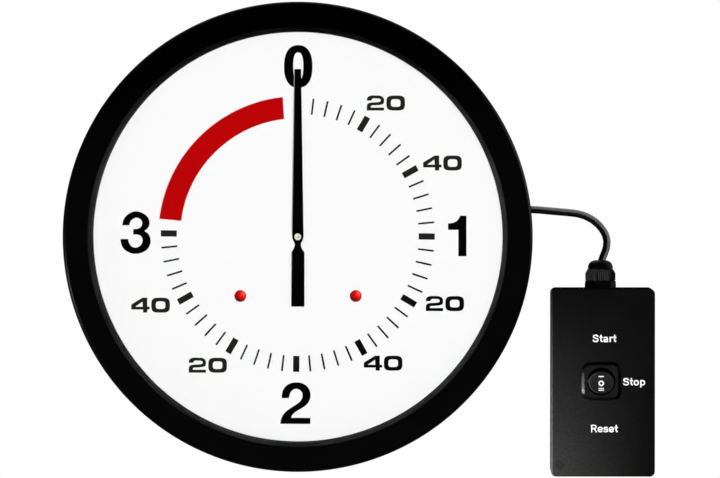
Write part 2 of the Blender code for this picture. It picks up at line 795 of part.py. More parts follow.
def build_hand():
    """A long blade with a waist below its hub and a square counterweight."""
    half = [
        (HAND_TIP_W / 2, sight_r - HAND_TO_EDGE),
        (HAND_HUB_W / 2, HAND_HUB_W / 2),
        (HAND_HUB_W / 2, -HAND_HUB_W / 8),
        (WAIST_W * 0.70, WAIST_Y * 0.6),
        (WAIST_W * 0.50, WAIST_Y),
        (WAIST_W * 0.58, WAIST_Y * 1.4),
        (WAIST_W * 0.81, WAIST_Y * 1.8),
        (TAIL_W / 2, TAIL_TOP),
        (TAIL_W / 2, TAIL_END),
    ]
    outline = half + [(-x, y) for x, y in reversed(half)]
    flat("hand", [outline, circle(0, 0, HAND_BORE_R, 12)], HAND_T, "black_hand", hand_axis,
         (0, 0, hand_z))
    seat = hand_z + HAND_T + GAP
    profile = [
        (0, HUB_SCREW_H),
        (HUB_SCREW_R * 0.8, HUB_SCREW_H),
        (HUB_SCREW_R, HUB_SCREW_H * 0.6),
        (HUB_SCREW_R, 0),
        (HUB_SHANK_R, 0),
        (HUB_SHANK_R, -HUB_SHANK_L),
        (0, -HUB_SHANK_L),
    ]
    screw = turned("hub_screw", profile, PLAIN_STEPS, "brass", hand_axis, (0, 0, seat))
    slot = block("hub_screw_slot", (4 * HUB_SCREW_R, HUB_SLOT_W, 2 * HUB_SLOT_D), parent=hand_axis,
                 at=(0, 0, seat + HUB_SCREW_H))
    smooth(cut(screw, slot))


def gear(name, teeth, phase, thickness, bore, material, parent, z, holes=()):
    loops = [gear_outline(teeth, phase), circle(0, 0, bore, PLAIN_STEPS), *holes]
    flat(name, loops, thickness, material, parent, (0, 0, z))


def spoke_holes(taken=None):
    """Lightening holes round a wheel; taken leaves one place out."""
    return [circle(*polar(SPOKE_AT, angle), SPOKE_HOLE_R, SCREW_STEPS)
            for i, angle in enumerate(ring_of(SPOKES, -math.pi / 2)) if i != taken]


def plate_outline():
    return rounded_rectangle(0, (PLATE_LOW + PLATE_HIGH) / 2, PLATE_W, PLATE_HIGH - PLATE_LOW,
                             PLATE_CORNER, 2)


def build_movement_frame():
    """Two plates on four pillars, screwed to posts of the rear case."""
    spigots = [circle(x, y, SPIGOT_R + GAP, SCREW_STEPS) for x, y in pillar_places()]
    rivets = [circle(motor_at[0] + side * MOTOR_EAR_X, motor_at[1] + MOTOR_EAR_Y, RIVET_R + GAP,
                     SCREW_STEPS) for side in (-1, 1)]
    rear = [plate_outline(), *spigots, *rivets,
            circle(0, 0, ARBOR_PIVOT_R + RUN, PLAIN_STEPS),
            circle(*idler_at, THIN_PIVOT_R + RUN, PLAIN_STEPS),
            circle(*motor_at, 2 * MOTOR_SHAFT_R, PLAIN_STEPS)]
    flat("movement_rear_plate", rear, PLATE_T, "brass", at=(0, 0, rear_plate_z))
    bush_r = ARBOR_R + RUN + BUSH_WALL
    front = [plate_outline(), *spigots,
             circle(0, 0, bush_r + GAP, PLAIN_STEPS),
             circle(*idler_at, THIN_PIVOT_R + RUN, PLAIN_STEPS),
             circle(*motor_at, MOTOR_SHAFT_R + RUN, PLAIN_STEPS)]
    flat("movement_front_plate", front, PLATE_T, "brass", at=(0, 0, front_plate_z))
    bush = [
        (BUSH_FLANGE_R, PLATE_T + GAP + BUSH_FLANGE_T),
        (BUSH_FLANGE_R, PLATE_T + GAP),
        (bush_r, PLATE_T + GAP),
        (bush_r, 0),
        (ARBOR_R + RUN, 0),
        (ARBOR_R + RUN, PLATE_T + GAP + BUSH_FLANGE_T),
    ]
    smooth(turned("arbor_bush", bush, PLAIN_STEPS, "brass", at=(0, 0, front_plate_z)))
    pillar = [
        (0, front_plate_top),
        (SPIGOT_R, front_plate_top),
        (SPIGOT_R, front_plate_z - GAP),
        (PILLAR_R, front_plate_z - GAP),
        (PILLAR_R, rear_plate_top + GAP),
        (SPIGOT_R, rear_plate_top + GAP),
        (SPIGOT_R, rear_plate_z - PILLAR_FOOT),
        (0, rear_plate_z - PILLAR_FOOT),
    ]
    for i, (x, y) in enumerate(pillar_places()):
        smooth(turned(f"plate_pillar_{i + 1}", pillar, SCREW_STEPS, "brass", at=(x, y, 0)))


def build_gear_train():
    """Motor pinion, idler and centre wheel: sixteen turns of the motor to one of the hand.
    At rest each wheel has a tooth, and its pinion a gap, on the line between them."""
    gap_turn = math.pi + math.pi / PINION_TEETH
    seat = rear_plate_top + GAP
    tall = hand_z - GAP
    arbor = [
        (0, tall - HUB_SHANK_L),
        (HUB_SHANK_R + GAP, tall - HUB_SHANK_L),
        (HUB_SHANK_R + GAP, tall),
        (ARBOR_R, tall),
        (ARBOR_R, wheel_z - GAP),
        (COLLET_R, wheel_z - GAP),
        (COLLET_R, seat),
        (ARBOR_PIVOT_R, seat),
        (ARBOR_PIVOT_R, rear_plate_z),
        (0, rear_plate_z),
    ]
    smooth(turned("centre_arbor", arbor, PLAIN_STEPS, "steel", hand_axis))
    magnet = circle(0, -MAGNET_AT, MAGNET_R + GAP, PLAIN_STEPS)
    gear("centre_wheel", WHEEL_TEETH, IDLER_ANGLE, WHEEL_T, ARBOR_R + GAP, "brass", hand_axis,
         wheel_z, [magnet, *spoke_holes(0)])
    rod("home_magnet", MAGNET_R, WHEEL_T - GAP, PLAIN_STEPS, "steel", hand_axis,
        (0, -MAGNET_AT, wheel_z + GAP / 2))
    sensor_t = wheel_z - SENSOR_AIR - seat
    block("home_sensor", (SENSOR_W, SENSOR_W, sensor_t), "black_abs",
          at=(0, -MAGNET_AT, seat + sensor_t / 2))

    thin = [
        (0, front_plate_top),
        (THIN_PIVOT_R, front_plate_top),
        (THIN_PIVOT_R, front_plate_z - GAP),
        (THIN_ARBOR_R, front_plate_z - GAP),
        (THIN_ARBOR_R, seat),
        (THIN_PIVOT_R, seat),
        (THIN_PIVOT_R, rear_plate_z),
        (0, rear_plate_z),
    ]
    smooth(turned("idler_arbor", thin, PLAIN_STEPS, "steel", idler_axis))
    gear("idler_pinion", PINION_TEETH, IDLER_ANGLE + gap_turn, PINION_T, THIN_ARBOR_R + GAP,
         "brass", idler_axis, idler_pinion_z)
    gear("idler_wheel", WHEEL_TEETH, MOTOR_ANGLE, WHEEL_T, THIN_ARBOR_R + GAP, "acetal",
         idler_axis, idler_z, spoke_holes())
    gear("motor_pinion", PINION_TEETH, MOTOR_ANGLE + gap_turn, PINION_T - 2 * GAP,
         MOTOR_SHAFT_R + GAP, "acetal", motor_axis, motor_pinion_z)


def build_motor():
    """A flat synchronous motor, riveted under the rear plate by its two ears."""
    can = [
        (0, MOTOR_H),
        (MOTOR_R - MOTOR_EDGE, MOTOR_H),
        (MOTOR_R, MOTOR_H - MOTOR_EDGE),
        (MOTOR_R, 0),
        (0, 0),
    ]
    motor = turned("motor_can", can, 24, "steel", motor_axis, (0, 0, motor_z))
    ears = []
    for side in (-1, 1):
        x = side * MOTOR_EAR_X
        ears.append(block(f"motor_ear_{side}", (MOTOR_EAR_L, MOTOR_EAR_W, MOTOR_EAR_T),
                          parent=motor_axis, corner=MOTOR_EAR_W / 3, corner_steps=2,
                          at=(x - side * (MOTOR_EAR_L - MOTOR_EAR_W) / 2, MOTOR_EAR_Y,
                              motor_z + MOTOR_H - MOTOR_EDGE - MOTOR_EAR_T / 2)))
        ears.append(rod(f"motor_rivet_{side}", RIVET_R,
                        rear_plate_top - motor_z - MOTOR_H + 2 * MOTOR_EDGE, SCREW_STEPS,
                        parent=motor_axis,
                        at=(x, MOTOR_EAR_Y, motor_z + MOTOR_H - 2 * MOTOR_EDGE)))
    shaft_z = motor_z + MOTOR_H / 2
    hole = rod("motor_shaft_hole", MOTOR_SHAFT_R + RUN, MOTOR_H, PLAIN_STEPS,
               parent=motor_axis, at=(0, 0, shaft_z))
    smooth(cut(join(motor, *ears), hole))
    rod("motor_shaft", MOTOR_SHAFT_R, front_plate_top - shaft_z - GAP, PLAIN_STEPS, "steel",
        motor_axis, (0, 0, shaft_z + GAP))


def build_electronics():
    outline = rounded_rectangle(BOARD_X, board_y, BOARD_W, BOARD_H, BOARD_CORNER, 1)
    board = as_mesh(flat("circuit_board", [outline], BOARD_T, "green_board", at=(0, 0, BOARD_Z)))
    top = BOARD_Z + BOARD_T
    sunk = BOARD_T / 2
    chip = block("chip", (CHIP_W, CHIP_D, CHIP_H + sunk),
                 at=(BOARD_X + CHIP_X, board_y + CHIP_Y, top + (CHIP_H - sunk) / 2))
    relay = block("relay", (RELAY_W, RELAY_D, RELAY_H + sunk), corner=RELAY_CORNER,
                  corner_steps=1,
                  at=(BOARD_X + RELAY_X, board_y + RELAY_Y, top + (RELAY_H - sunk) / 2))
    store = rod("capacitor", STORE_R, STORE_H + sunk, PLAIN_STEPS,
                at=(BOARD_X + STORE_X, board_y + STORE_Y, top - sunk))
    join(board, chip, relay, store)
    smooth(board)
    terminal_x = BOARD_X + TERMINAL_X
    y = board_y + BOARD_H / 2 - TERMINAL_D
    body = block("terminal_block", (TERMINAL_W, TERMINAL_D, TERMINAL_H), "black_abs",
                 at=(terminal_x, y, top + GAP + TERMINAL_H / 2))
    pitch = TERMINAL_W / TERMINAL_WAYS
    wells = [rod(f"terminal_well_{i}", pitch * 0.32, TERMINAL_H / 2, 6,
                 at=(terminal_x + (i - (TERMINAL_WAYS - 1) / 2) * pitch, y,
                     top + GAP + 0.7 * TERMINAL_H))
             for i in range(TERMINAL_WAYS)]
    smooth(cut(body, *wells))

    z = lamp_board_z
    strip = rounded_rectangle(0, LAMP_Y, LAMP_BOARD_W, LAMP_BOARD_H, BOARD_CORNER, 1)
    flat("lamp_board", [strip], BOARD_T, "green_board", at=(0, 0, z))
    dome = arc((0, LAMP_H - LAMP_R), LAMP_R, 90, 0, 3)[1:]
    lamp = [(0, LAMP_H), *dome, (LAMP_R, LAMP_FLANGE_T), (LAMP_FLANGE_R, LAMP_FLANGE_T),
            (LAMP_FLANGE_R, 0), (0, 0)]
    for side, name in ((-1, "lamp_left"), (1, "lamp_right")):
        smooth(turned(name, lamp, FINE_STEPS, "red_lamp",
                      at=(side * LAMP_X, LAMP_Y, z + BOARD_T + GAP)))

    horn = [
        (0, SOUNDER_H - SOUNDER_HOLE_L),
        (SOUNDER_HOLE_R, SOUNDER_H - SOUNDER_HOLE_L),
        (SOUNDER_HOLE_R, SOUNDER_H),
        (SOUNDER_R - SOUNDER_EDGE, SOUNDER_H),
        (SOUNDER_R, SOUNDER_H - SOUNDER_EDGE),
        (SOUNDER_R, 0),
        (0, 0),
    ]
    smooth(turned("sounder", horn, 20, "black_abs", at=(*sounder_at, FLOOR_T + GAP)))

    inlet = [
        (0, GAP + INLET_FLANGE_T - INLET_BORE_L),
        (INLET_BORE_R, GAP + INLET_FLANGE_T - INLET_BORE_L),
        (INLET_BORE_R, GAP + INLET_FLANGE_T),
        (INLET_FLANGE_R, GAP + INLET_FLANGE_T),
        (INLET_FLANGE_R, GAP),
        (INLET_R, GAP),
        (INLET_R, GAP - INLET_L),
        (0, GAP - INLET_L),
    ]
    socket = turned("power_inlet", inlet, PLAIN_STEPS, "black_abs",
                    at=(0, -case_r - PAD_OUT, INLET_Z), turn=(math.pi / 2, 0, 0))
    pin = rod("power_inlet_pin", INLET_PIN_R, INLET_BORE_L, 8,
              at=(0, -case_r - PAD_OUT + INLET_BORE_L, INLET_Z), turn=(math.pi / 2, 0, 0))
    smooth(join(socket, pin))


def build_cord():
    """The rubber bush in the case's wall, and the cord from it to the gland."""
    seat = -PAD_OUT - CASE_WALL - PAD_IN - GAP
    bush = [
        (0, GAP + BUSH_HEAD_T + BUSH_NOSE_L),
        (BUSH_NOSE_R, GAP + BUSH_HEAD_T + BUSH_NOSE_L),
        (BUSH_R, GAP + BUSH_HEAD_T),
        (BUSH_HEAD_R, GAP + BUSH_HEAD_T),
        (BUSH_HEAD_R, GAP),
        (BUSH_R, GAP),
        (BUSH_R, seat),
        (BUSH_R + BUSH_COLLAR, seat - GAP),
        (BUSH_R, seat - BUSH_TAIL_L),
        (0, seat - BUSH_TAIL_L),
    ]
    smooth(turned("cord_bush", bush, PLAIN_STEPS, "black_rubber",
                  at=(case_r + PAD_OUT, CORD_Y, CORD_Z), turn=(0, math.pi / 2, 0)))
    curve = bpy.data.curves.new("control_cord", "CURVE")
    curve.dimensions = "3D"
    curve.bevel_depth = CORD_R
    curve.bevel_resolution = 2
    curve.use_fill_caps = True
    route = smooth_route(cord_route, CORD_STEPS)
    spline = curve.splines.new("POLY")
    spline.points.add(len(route) - 1)
    for point, at in zip(spline.points, route):
        point.co = (*at, 1)
    add("control_cord", curve, "black_pvc")


def smooth_route(points, steps):
    """A smooth curve through the points, as a list with steps pieces between each two."""
    ends = [[2 * a - b for a, b in zip(points[0], points[1])]]
    last = [2 * a - b for a, b in zip(points[-1], points[-2])]
    known = ends + [list(p) for p in points] + [last]
    route = []
    for i in range(1, len(known) - 2):
        p0, p1, p2, p3 = known[i - 1 : i + 3]
        for step in range(steps):
            t = step / steps
            route.append([
                0.5 * (2 * b + (c - a) * t + (2 * a - 5 * b + 4 * c - d) * t * t
                       + (3 * b - a - 3 * c + d) * t ** 3)
                for a, b, c, d in zip(p0, p1, p2, p3)
            ])
    return route + [list(points[-1])]


def boss_places():
    x = BOX_W / 2 - BOX_BOSS_X
    y = BOX_H / 2 - BOX_BOSS_Y
    return [(sx * x, sy * y) for sx in (-1, 1) for sy in (-1, 1)]


def build_box():
    """The moulded shell, its rear lid and four countersunk screws from behind."""
    lid_top = BOX_BACK + LID_T
    shell_z = lid_top + GAP
    depth = face_z - shell_z
    shell = block("box_shell", (BOX_W, BOX_H, depth), "charcoal_abs", box_frame,
                  (0, 0, shell_z + depth / 2), corner=BOX_CORNER, edge=BOX_EDGE)
    hollow_depth = depth - BOX_WALL
    hollow = block("box_hollow", (BOX_W - 2 * BOX_WALL, BOX_H - 2 * BOX_WALL, 2 * hollow_depth),
                   parent=box_frame, at=(0, 0, shell_z),
                   corner=BOX_CORNER - BOX_WALL, corner_steps=1)
    bosses, holes = [], []
    pilot = SCREW_R + GAP
    for i, (x, y) in enumerate(boss_places()):
        bosses.append(rod(f"box_boss_{i}", BOX_BOSS_R, depth - BOX_WALL / 2, 10,
                          parent=box_frame, at=(x, y, shell_z)))
        holes.append(rod(f"box_boss_hole_{i}", pilot, LID_SCREW_L + GAP, SCREW_STEPS,
                         parent=box_frame, at=(x, y, BOX_BACK)))
    gland_hole = rod("gland_hole", GLAND_THREAD_R + GAP, 4 * BOX_WALL, 20, parent=gland_axis,
                     at=(0, 0, -2 * BOX_WALL))
    switch_hole = rod("switch_hole", HOUSING_R + GAP, 4 * BOX_WALL, 20, parent=rocker_axis,
                      at=(0, 0, PIVOT_DEPTH - 2 * BOX_WALL))
    cut(shell, hollow)
    cut(join(shell, *bosses), *holes, gland_hole, switch_hole)
    smooth(shell)

    lid = block("box_lid", (BOX_W, BOX_H, LID_T), "charcoal_abs", box_frame,
                (0, 0, BOX_BACK + LID_T / 2), corner=BOX_CORNER)
    rib_h = LID_RIB_H + LID_T / 2
    ribs = [block(f"lid_rib_{side}", (LID_RIB_T, LID_RIB_L, rib_h), parent=box_frame,
                  at=(side * (BOX_W / 2 - BOX_WALL - GAP - LID_RIB_T / 2), 0,
                      lid_top - LID_T / 2 + rib_h / 2))
            for side in (-1, 1)]
    sinks = []
    sink_h = LID_SCREW_HEAD_R - SCREW_R
    for i, (x, y) in enumerate(boss_places()):
        sinks.append(rod(f"lid_hole_{i}", pilot, 3 * LID_T, SCREW_STEPS, parent=box_frame,
                         at=(x, y, BOX_BACK - LID_T)))
        sinks.append(rod(f"lid_sink_{i}", LID_SCREW_HEAD_R + 4 * GAP, sink_h + 4 * GAP,
                         SCREW_STEPS, parent=box_frame, at=(x, y, BOX_BACK - GAP),
                         top_radius=SCREW_R))
        head = [
            (0, LID_SCREW_L),
            (SCREW_R, LID_SCREW_L),
            (SCREW_R, sink_h),
            (LID_SCREW_HEAD_R, 0),
            (0, 0),
        ]
        smooth(turned(f"lid_screw_{i + 1}", head, SCREW_STEPS, "steel", box_frame,
                      (x, y, BOX_BACK)))
    smooth(cut(join(lid, *ribs), *sinks))


def hexagon(name, width, height, bore, bore_steps, material, z, turn):
    """A hexagonal ring, width across its flats."""
    corners = circle(0, 0, width / 2 / math.cos(math.pi / 6), 6)
    return flat(name, [corners, circle(0, 0, bore, bore_steps)], height, material, gland_axis,
                (0, 0, z), (0, 0, turn))


def build_gland():
    """The cable gland, along its own axis from the top wall of the box."""
    steps = 16
    top = GAP + GLAND_FLANGE_T
    body = [
        (GLAND_THREAD_R, top + GLAND_NECK_L),
        (GLAND_THREAD_R, -BOX_WALL - GLAND_TAIL_L),
        (GLAND_BORE_R, -BOX_WALL - GLAND_TAIL_L),
        (GLAND_BORE_R, top + GLAND_NECK_L),
    ]
    neck = turned("gland_body", body, steps, "black_nylon", gland_axis)
    flange = as_mesh(hexagon("gland_flange", GLAND_FLANGE_W, GLAND_FLANGE_T,
                             (GLAND_THREAD_R + GLAND_BORE_R) / 2, steps, None, GAP,
                             GLAND_TURN))
    smooth(join(neck, flange))
    hexagon("gland_locknut", LOCKNUT_W, LOCKNUT_T, GLAND_THREAD_R + GAP, steps, "black_nylon",
            -BOX_WALL - GAP - LOCKNUT_T, GLAND_TURN)

    nut_z = top + GAP
    shoulder = nut_z + NUT_HEX_H
    base = shoulder + NUT_CHAMFER_H
    dome_z = base + DOME_BASE_H
    bore_top = top + GLAND_NECK_L + GAP
    corner_r = NUT_W / 2 / math.cos(math.pi / 6)
    seal_r = (GLAND_BORE_R + GLAND_THREAD_R) / 2
    rim_r = MOUTH_R + 2 * MOUTH_FLARE
    dome_w = DOME_R - DOME_TAPER - rim_r
    dome = [(rim_r + dome_w * x, dome_z + DOME_H * y) for x, y in arc((0, 0), 1, 90, 0, 4)]
    profile = [
        *dome,
        (DOME_R, base),
        (corner_r, shoulder),
        (corner_r + DOME_TAPER, shoulder),
        (corner_r + DOME_TAPER, nut_z),
        (GLAND_THREAD_R + GAP, nut_z),
        (GLAND_THREAD_R + GAP, bore_top),
        (seal_r + GAP, bore_top),
        (seal_r + GAP, seal_top + GAP),
        (MOUTH_R, seal_top + GAP),
        (MOUTH_R + MOUTH_FLARE, nut_top),
    ]
    nut = turned("gland_nut", profile, 20, "black_nylon", gland_axis)
    sides = as_mesh(flat("nut_sides", [circle(0, 0, corner_r, 6)], nut_top + NUT_HEX_H, None,
                         gland_axis, turn=(0, 0, NUT_TURN)))
    trim = nut.modifiers.new("hex", "BOOLEAN")
    trim.operation = "INTERSECT"
    trim.object = sides
    smooth(nut)
    seal = [
        (0, seal_top),
        (seal_r, seal_top),
        (seal_r, bore_top + GAP),
        (GLAND_BORE_R - GAP, bore_top + GAP),
        (GLAND_BORE_R - GAP, seal_top - SEAL_L),
        (0, seal_top - SEAL_L),
    ]
    smooth(turned("gland_seal", seal, FINE_STEPS, "black_rubber", gland_axis))


def build_switch():
    """Three-way rocker switch: housing with its square frame, ring nut, rocker, and a
    sprung plunger under it. Heights are from the rocker's pivot."""
    face = PIVOT_DEPTH
    frame_top = face + GAP + FRAME_H
    floor = face - HOUSING_D
    housing = rod("switch_housing", HOUSING_R, HOUSING_D + FRAME_H / 2, 24, "black_abs",
                  rocker_axis, (0, 0, floor))
    frame = block("switch_frame", (FRAME_W, FRAME_W, FRAME_H), parent=rocker_axis,
                  at=(0, 0, face + GAP + FRAME_H / 2), corner=FRAME_CORNER, corner_steps=3,
                  edge=FRAME_EDGE)
    well = rod("switch_well", WELL_R, 2 * HOUSING_D, 24, parent=rocker_axis,
               at=(0, 0, floor + HOUSING_FLOOR))
    bearing = rod("trunnion_holes", TRUNNION_R + TRUNNION_PLAY, 4 * HOUSING_R, 12,
                  parent=rocker_axis, at=(-2 * HOUSING_R, 0, 0), turn=(0, math.pi / 2, 0))
    blade_slots = [block(f"blade_slot_{i}", (BLADE_W + 2 * GAP, BLADE_T + 2 * GAP,
                                             4 * HOUSING_FLOOR),
                         parent=rocker_axis, at=(0, (i - 1) * BLADE_AT, floor))
                   for i in range(3)]
    cut(join(housing, frame), well, bearing, *blade_slots)
    smooth(housing)
    nut_top_z = face - BOX_WALL - GAP
    flat("switch_nut", [circle(0, 0, RING_NUT_R, 12), circle(0, 0, HOUSING_R + GAP, 24)],
         RING_NUT_T, "black_nylon", rocker_axis, (0, 0, nut_top_z - RING_NUT_T))

    top = frame_top + ROCKER_PROUD
    paddle = rod("rocker", ROCKER_W / 2, ROCKER_T, 24, "black_abs", rocker_axis,
                 (0, 0, top - ROCKER_T))
    for vertex in paddle.data.vertices:
        vertex.co.y *= ROCKER_L / ROCKER_W
    dish_r = (ROCKER_L ** 2 / 4 + ROCKER_DISH ** 2) / (2 * ROCKER_DISH)
    dish = rod("rocker_dish", dish_r, 2 * ROCKER_W, 96, parent=rocker_axis,
               at=(-ROCKER_W, 0, top + dish_r - ROCKER_DISH), turn=(0, math.pi / 2, 0))
    web_top = top - ROCKER_T / 2
    bore_top = -TRUNNION_R - SLEEVE_ROOF
    cheek_h = web_top - bore_top + SLEEVE_ROOF
    cheeks = block("rocker_cheeks", (CHEEK_W, CHEEK_L, cheek_h), parent=rocker_axis,
                   at=(0, 0, web_top - cheek_h / 2))
    sleeve = rod("rocker_sleeve", SLEEVE_R, web_top + SLEEVE_L, PLAIN_STEPS,
                 parent=rocker_axis, at=(0, 0, -SLEEVE_L))
    reach = WELL_R + TRUNNION_L
    pins = rod("rocker_trunnions", TRUNNION_R, 2 * reach, PLAIN_STEPS, parent=rocker_axis,
               at=(-reach, 0, 0), turn=(0, math.pi / 2, 0))
    bore = rod("sleeve_bore", SLEEVE_BORE_R, SLEEVE_L, PLAIN_STEPS, parent=rocker_axis,
               at=(0, 0, bore_top - SLEEVE_L))
    smooth(cut(join(paddle, cheeks, sleeve, pins), dish, bore))

    tip = lever_z + LEVER_T + GAP - pivot_z
    plunger_top = tip + PLUNGER_L
    plunger = [
        (0, plunger_top),
        (PLUNGER_R, plunger_top),
        (PLUNGER_R, tip + PLUNGER_R),
        (PLUNGER_R * 0.7, tip + PLUNGER_R * 0.3),
        (0, tip),
    ]
    smooth(turned("plunger", plunger, PLAIN_STEPS, "brass", rocker_axis))
    build_spring(plunger_top + GAP + SPRING_WIRE_R, bore_top - GAP - SPRING_WIRE_R)


def build_spring(low, high):
    curve = bpy.data.curves.new("rocker_spring", "CURVE")
    curve.dimensions = "3D"
    curve.bevel_depth = SPRING_WIRE_R
    curve.bevel_resolution = 0
    curve.use_fill_caps = True
    count = SPRING_TURNS * SPRING_LOOP_POINTS
    spline = curve.splines.new("POLY")
    spline.points.add(count)
    for i, point in enumerate(spline.points):
        x, y = polar(SPRING_R, 2 * math.pi * i / SPRING_LOOP_POINTS)
        point.co = (x, y, low + (high - low) * i / count, 1)
    add("rocker_spring", curve, "steel", rocker_axis)


def build_contacts():
    """The seesaw contact on its middle blade, between the two blades that it can reach."""
    half, bend = LEVER_L / 2, LEVER_L / 6
    under = [(-half, LEVER_DIP), (-bend, 0), (bend, 0), (half, LEVER_DIP)]
    lever = under + [(y, z + LEVER_T) for y, z in reversed(under)]
    strip = flat("contact_lever", [lever], LEVER_W, "tin", lever_axis)
    strip.rotation_euler = (math.pi / 2, 0, math.pi / 2)
    strip.location = (0, 0, 0)
    low = face_z - HOUSING_D - BLADE_TAIL - lever_z
    for i, name in enumerate(("reset_blade", "common_blade", "start_blade")):
        top = LEVER_DIP - CONTACT_GAP if i != 1 else -GAP
        block(name, (BLADE_W, BLADE_T, top - low), "tin", lever_axis,
              (0, (i - 1) * BLADE_AT, (top + low) / 2))


build_rear_case()
build_hanger_plate()
build_bezel()
build_front()
build_hand()
build_movement_frame()
build_gear_train()
build_motor()
build_electronics()
build_cord()
build_box()
build_gland()
build_switch()
build_contacts()
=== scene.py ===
import bpy
import json
import math
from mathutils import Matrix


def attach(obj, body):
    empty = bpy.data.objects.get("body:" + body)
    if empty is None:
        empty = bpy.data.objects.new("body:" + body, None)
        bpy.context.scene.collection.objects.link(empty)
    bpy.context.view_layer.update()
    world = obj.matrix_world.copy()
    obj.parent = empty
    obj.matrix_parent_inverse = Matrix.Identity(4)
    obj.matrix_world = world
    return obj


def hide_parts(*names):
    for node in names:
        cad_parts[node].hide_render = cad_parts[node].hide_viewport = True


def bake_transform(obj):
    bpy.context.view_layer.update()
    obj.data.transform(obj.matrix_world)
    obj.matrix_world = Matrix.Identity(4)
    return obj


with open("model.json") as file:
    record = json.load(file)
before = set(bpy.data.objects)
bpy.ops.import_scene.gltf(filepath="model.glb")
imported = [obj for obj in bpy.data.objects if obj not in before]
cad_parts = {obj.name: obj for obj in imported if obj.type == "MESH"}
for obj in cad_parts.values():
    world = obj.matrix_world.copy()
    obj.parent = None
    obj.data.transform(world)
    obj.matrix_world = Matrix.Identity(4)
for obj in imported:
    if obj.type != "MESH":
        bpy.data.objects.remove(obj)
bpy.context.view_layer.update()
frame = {"nodes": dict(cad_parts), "record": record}
mm = .001

# Pieces are drawn as one looks at the dial: x to the right, y up, z out of the wall, in mm.
# standUp then turns each of them to the frame of the CAD, where z is up and the dial faces -y.


def setMode(mode):
    bpy.ops.object.mode_set(mode=mode)


def deselectAll():
    if bpy.context.object and bpy.context.object.mode != "OBJECT":
        setMode("OBJECT")
    bpy.ops.object.select_all(action="DESELECT")


def pick(*pieces):
    deselectAll()
    for piece in pieces:
        piece.select_set(True)
    bpy.context.view_layer.objects.active = pieces[0]


def settle(rotation=False, scale=False):
    # puts the object's place, and its turn or scale, into its mesh
    bpy.ops.object.transform_apply(location=True, rotation=rotation, scale=scale)


def openMesh(kind="VERT", action="SELECT"):
    setMode("EDIT")
    bpy.ops.mesh.select_mode(type=kind)
    bpy.ops.mesh.select_all(action=action)


def closeUp():
    # merges what meets and turns the faces outwards
    openMesh()
    bpy.ops.mesh.remove_doubles(threshold=.002 * mm)
    bpy.ops.mesh.normals_make_consistent(inside=False)
    setMode("OBJECT")


def drawLine(points):
    # one line of edges through the points, from a plane that is merged to a single vertex
    deselectAll()
    bpy.ops.mesh.primitive_plane_add(size=mm, location=[p * mm for p in points[0]])
    settle()
    openMesh()
    bpy.ops.mesh.merge(type="CENTER")
    for here, there in zip(points, points[1:]):
        step = [(b - a) * mm for a, b in zip(here, there)]
        bpy.ops.mesh.extrude_region_move(TRANSFORM_OT_translate={"value": step})
    setMode("OBJECT")
    return bpy.context.object


def turned(profile, steps, axis="z", centre=(0, 0, 0)):
    # spins a profile of (radius, distance along the axis) pairs round that axis
    place = {"z": lambda r, a: (r, 0, a), "y": lambda r, a: (r, a, 0), "x": lambda r, a: (a, r, 0)}[axis]
    direction = {"z": (0, 0, 1), "y": (0, 1, 0), "x": (1, 0, 0)}[axis]
    piece = drawLine([[p + c for p, c in zip(place(r, a), centre)] for r, a in profile])
    openMesh()
    bpy.ops.mesh.spin(steps=steps, angle=math.tau, center=[c * mm for c in centre], axis=direction)
    closeUp()
    return piece


def onRing(radius, degrees):
    return radius * math.cos(math.radians(degrees)), radius * math.sin(math.radians(degrees))


def arc(centre, radius, start, end, count):
    # points of a rounded corner, angles in degrees
    corner = [onRing(radius, start + (end - start) * i / count) for i in range(count + 1)]
    return [(centre[0] + x, centre[1] + y) for x, y in corner]


def block(size, centre=(0, 0, 0)):
    deselectAll()
    bpy.ops.mesh.primitive_cube_add(size=1, location=[c * mm for c in centre])
    piece = bpy.context.object
    piece.scale = [s * mm for s in size]
    settle(scale=True)
    return piece


def rod(radius, low, high, centre=(0, 0), axis="z", vertices=48):
    # a round bar for cutting and joining, from low to high along its axis
    deselectAll()
    u, v = centre
    middle = (low + high) / 2
    where = {"z": (u, v, middle), "y": (u, middle, v), "x": (middle, u, v)}[axis]
    turn = {"z": (0, 0, 0), "y": (math.pi / 2, 0, 0), "x": (0, math.pi / 2, 0)}[axis]
    bpy.ops.mesh.primitive_cylinder_add(
        vertices=vertices, radius=radius * mm, depth=(high - low) * mm, location=[w * mm for w in where], rotation=turn)
    settle(rotation=True)
    return bpy.context.object


def prism(points, offset):
    # a bar with this outline and flat ends
    piece = drawLine(points + points[:1])
    closeUp()
    openMesh()
    bpy.ops.mesh.edge_face_add()
    bpy.ops.mesh.extrude_region_move(TRANSFORM_OT_translate={"value": [o * mm for o in offset]})
    closeUp()
    return piece


def joined(pieces):
    pick(*pieces)
    bpy.ops.object.join()
    return bpy.context.object


def remove(*pieces):
    for piece in pieces:
        bpy.data.objects.remove(piece, do_unlink=True)


def modify(piece, kind, **settings):
    # applies a modifier with these settings
    pick(piece)
    change = piece.modifiers.new(kind, kind)
    for key, value in settings.items():
        setattr(change, key, value)
    bpy.ops.object.modifier_apply(modifier=change.name)


def combine(piece, tool, operation="DIFFERENCE"):
    modify(piece, "BOOLEAN", operation=operation, object=tool, solver="EXACT")
    remove(tool)


def bevelEdges(piece, width, segments, wanted):
    # rounds the edges whose two ends, in mm, pass the test
    pick(piece)
    openMesh("EDGE", "DESELECT")
    setMode("OBJECT")
    for edge in piece.data.edges:
        a, b = (piece.data.vertices[i].co / mm for i in edge.vertices)
        edge.select = wanted(a, b)
    setMode("EDIT")
    bpy.ops.mesh.bevel(
        offset=width * mm, offset_type="OFFSET", segments=segments, profile=.5, affect="EDGES", clamp_overlap=True)
    setMode("OBJECT")


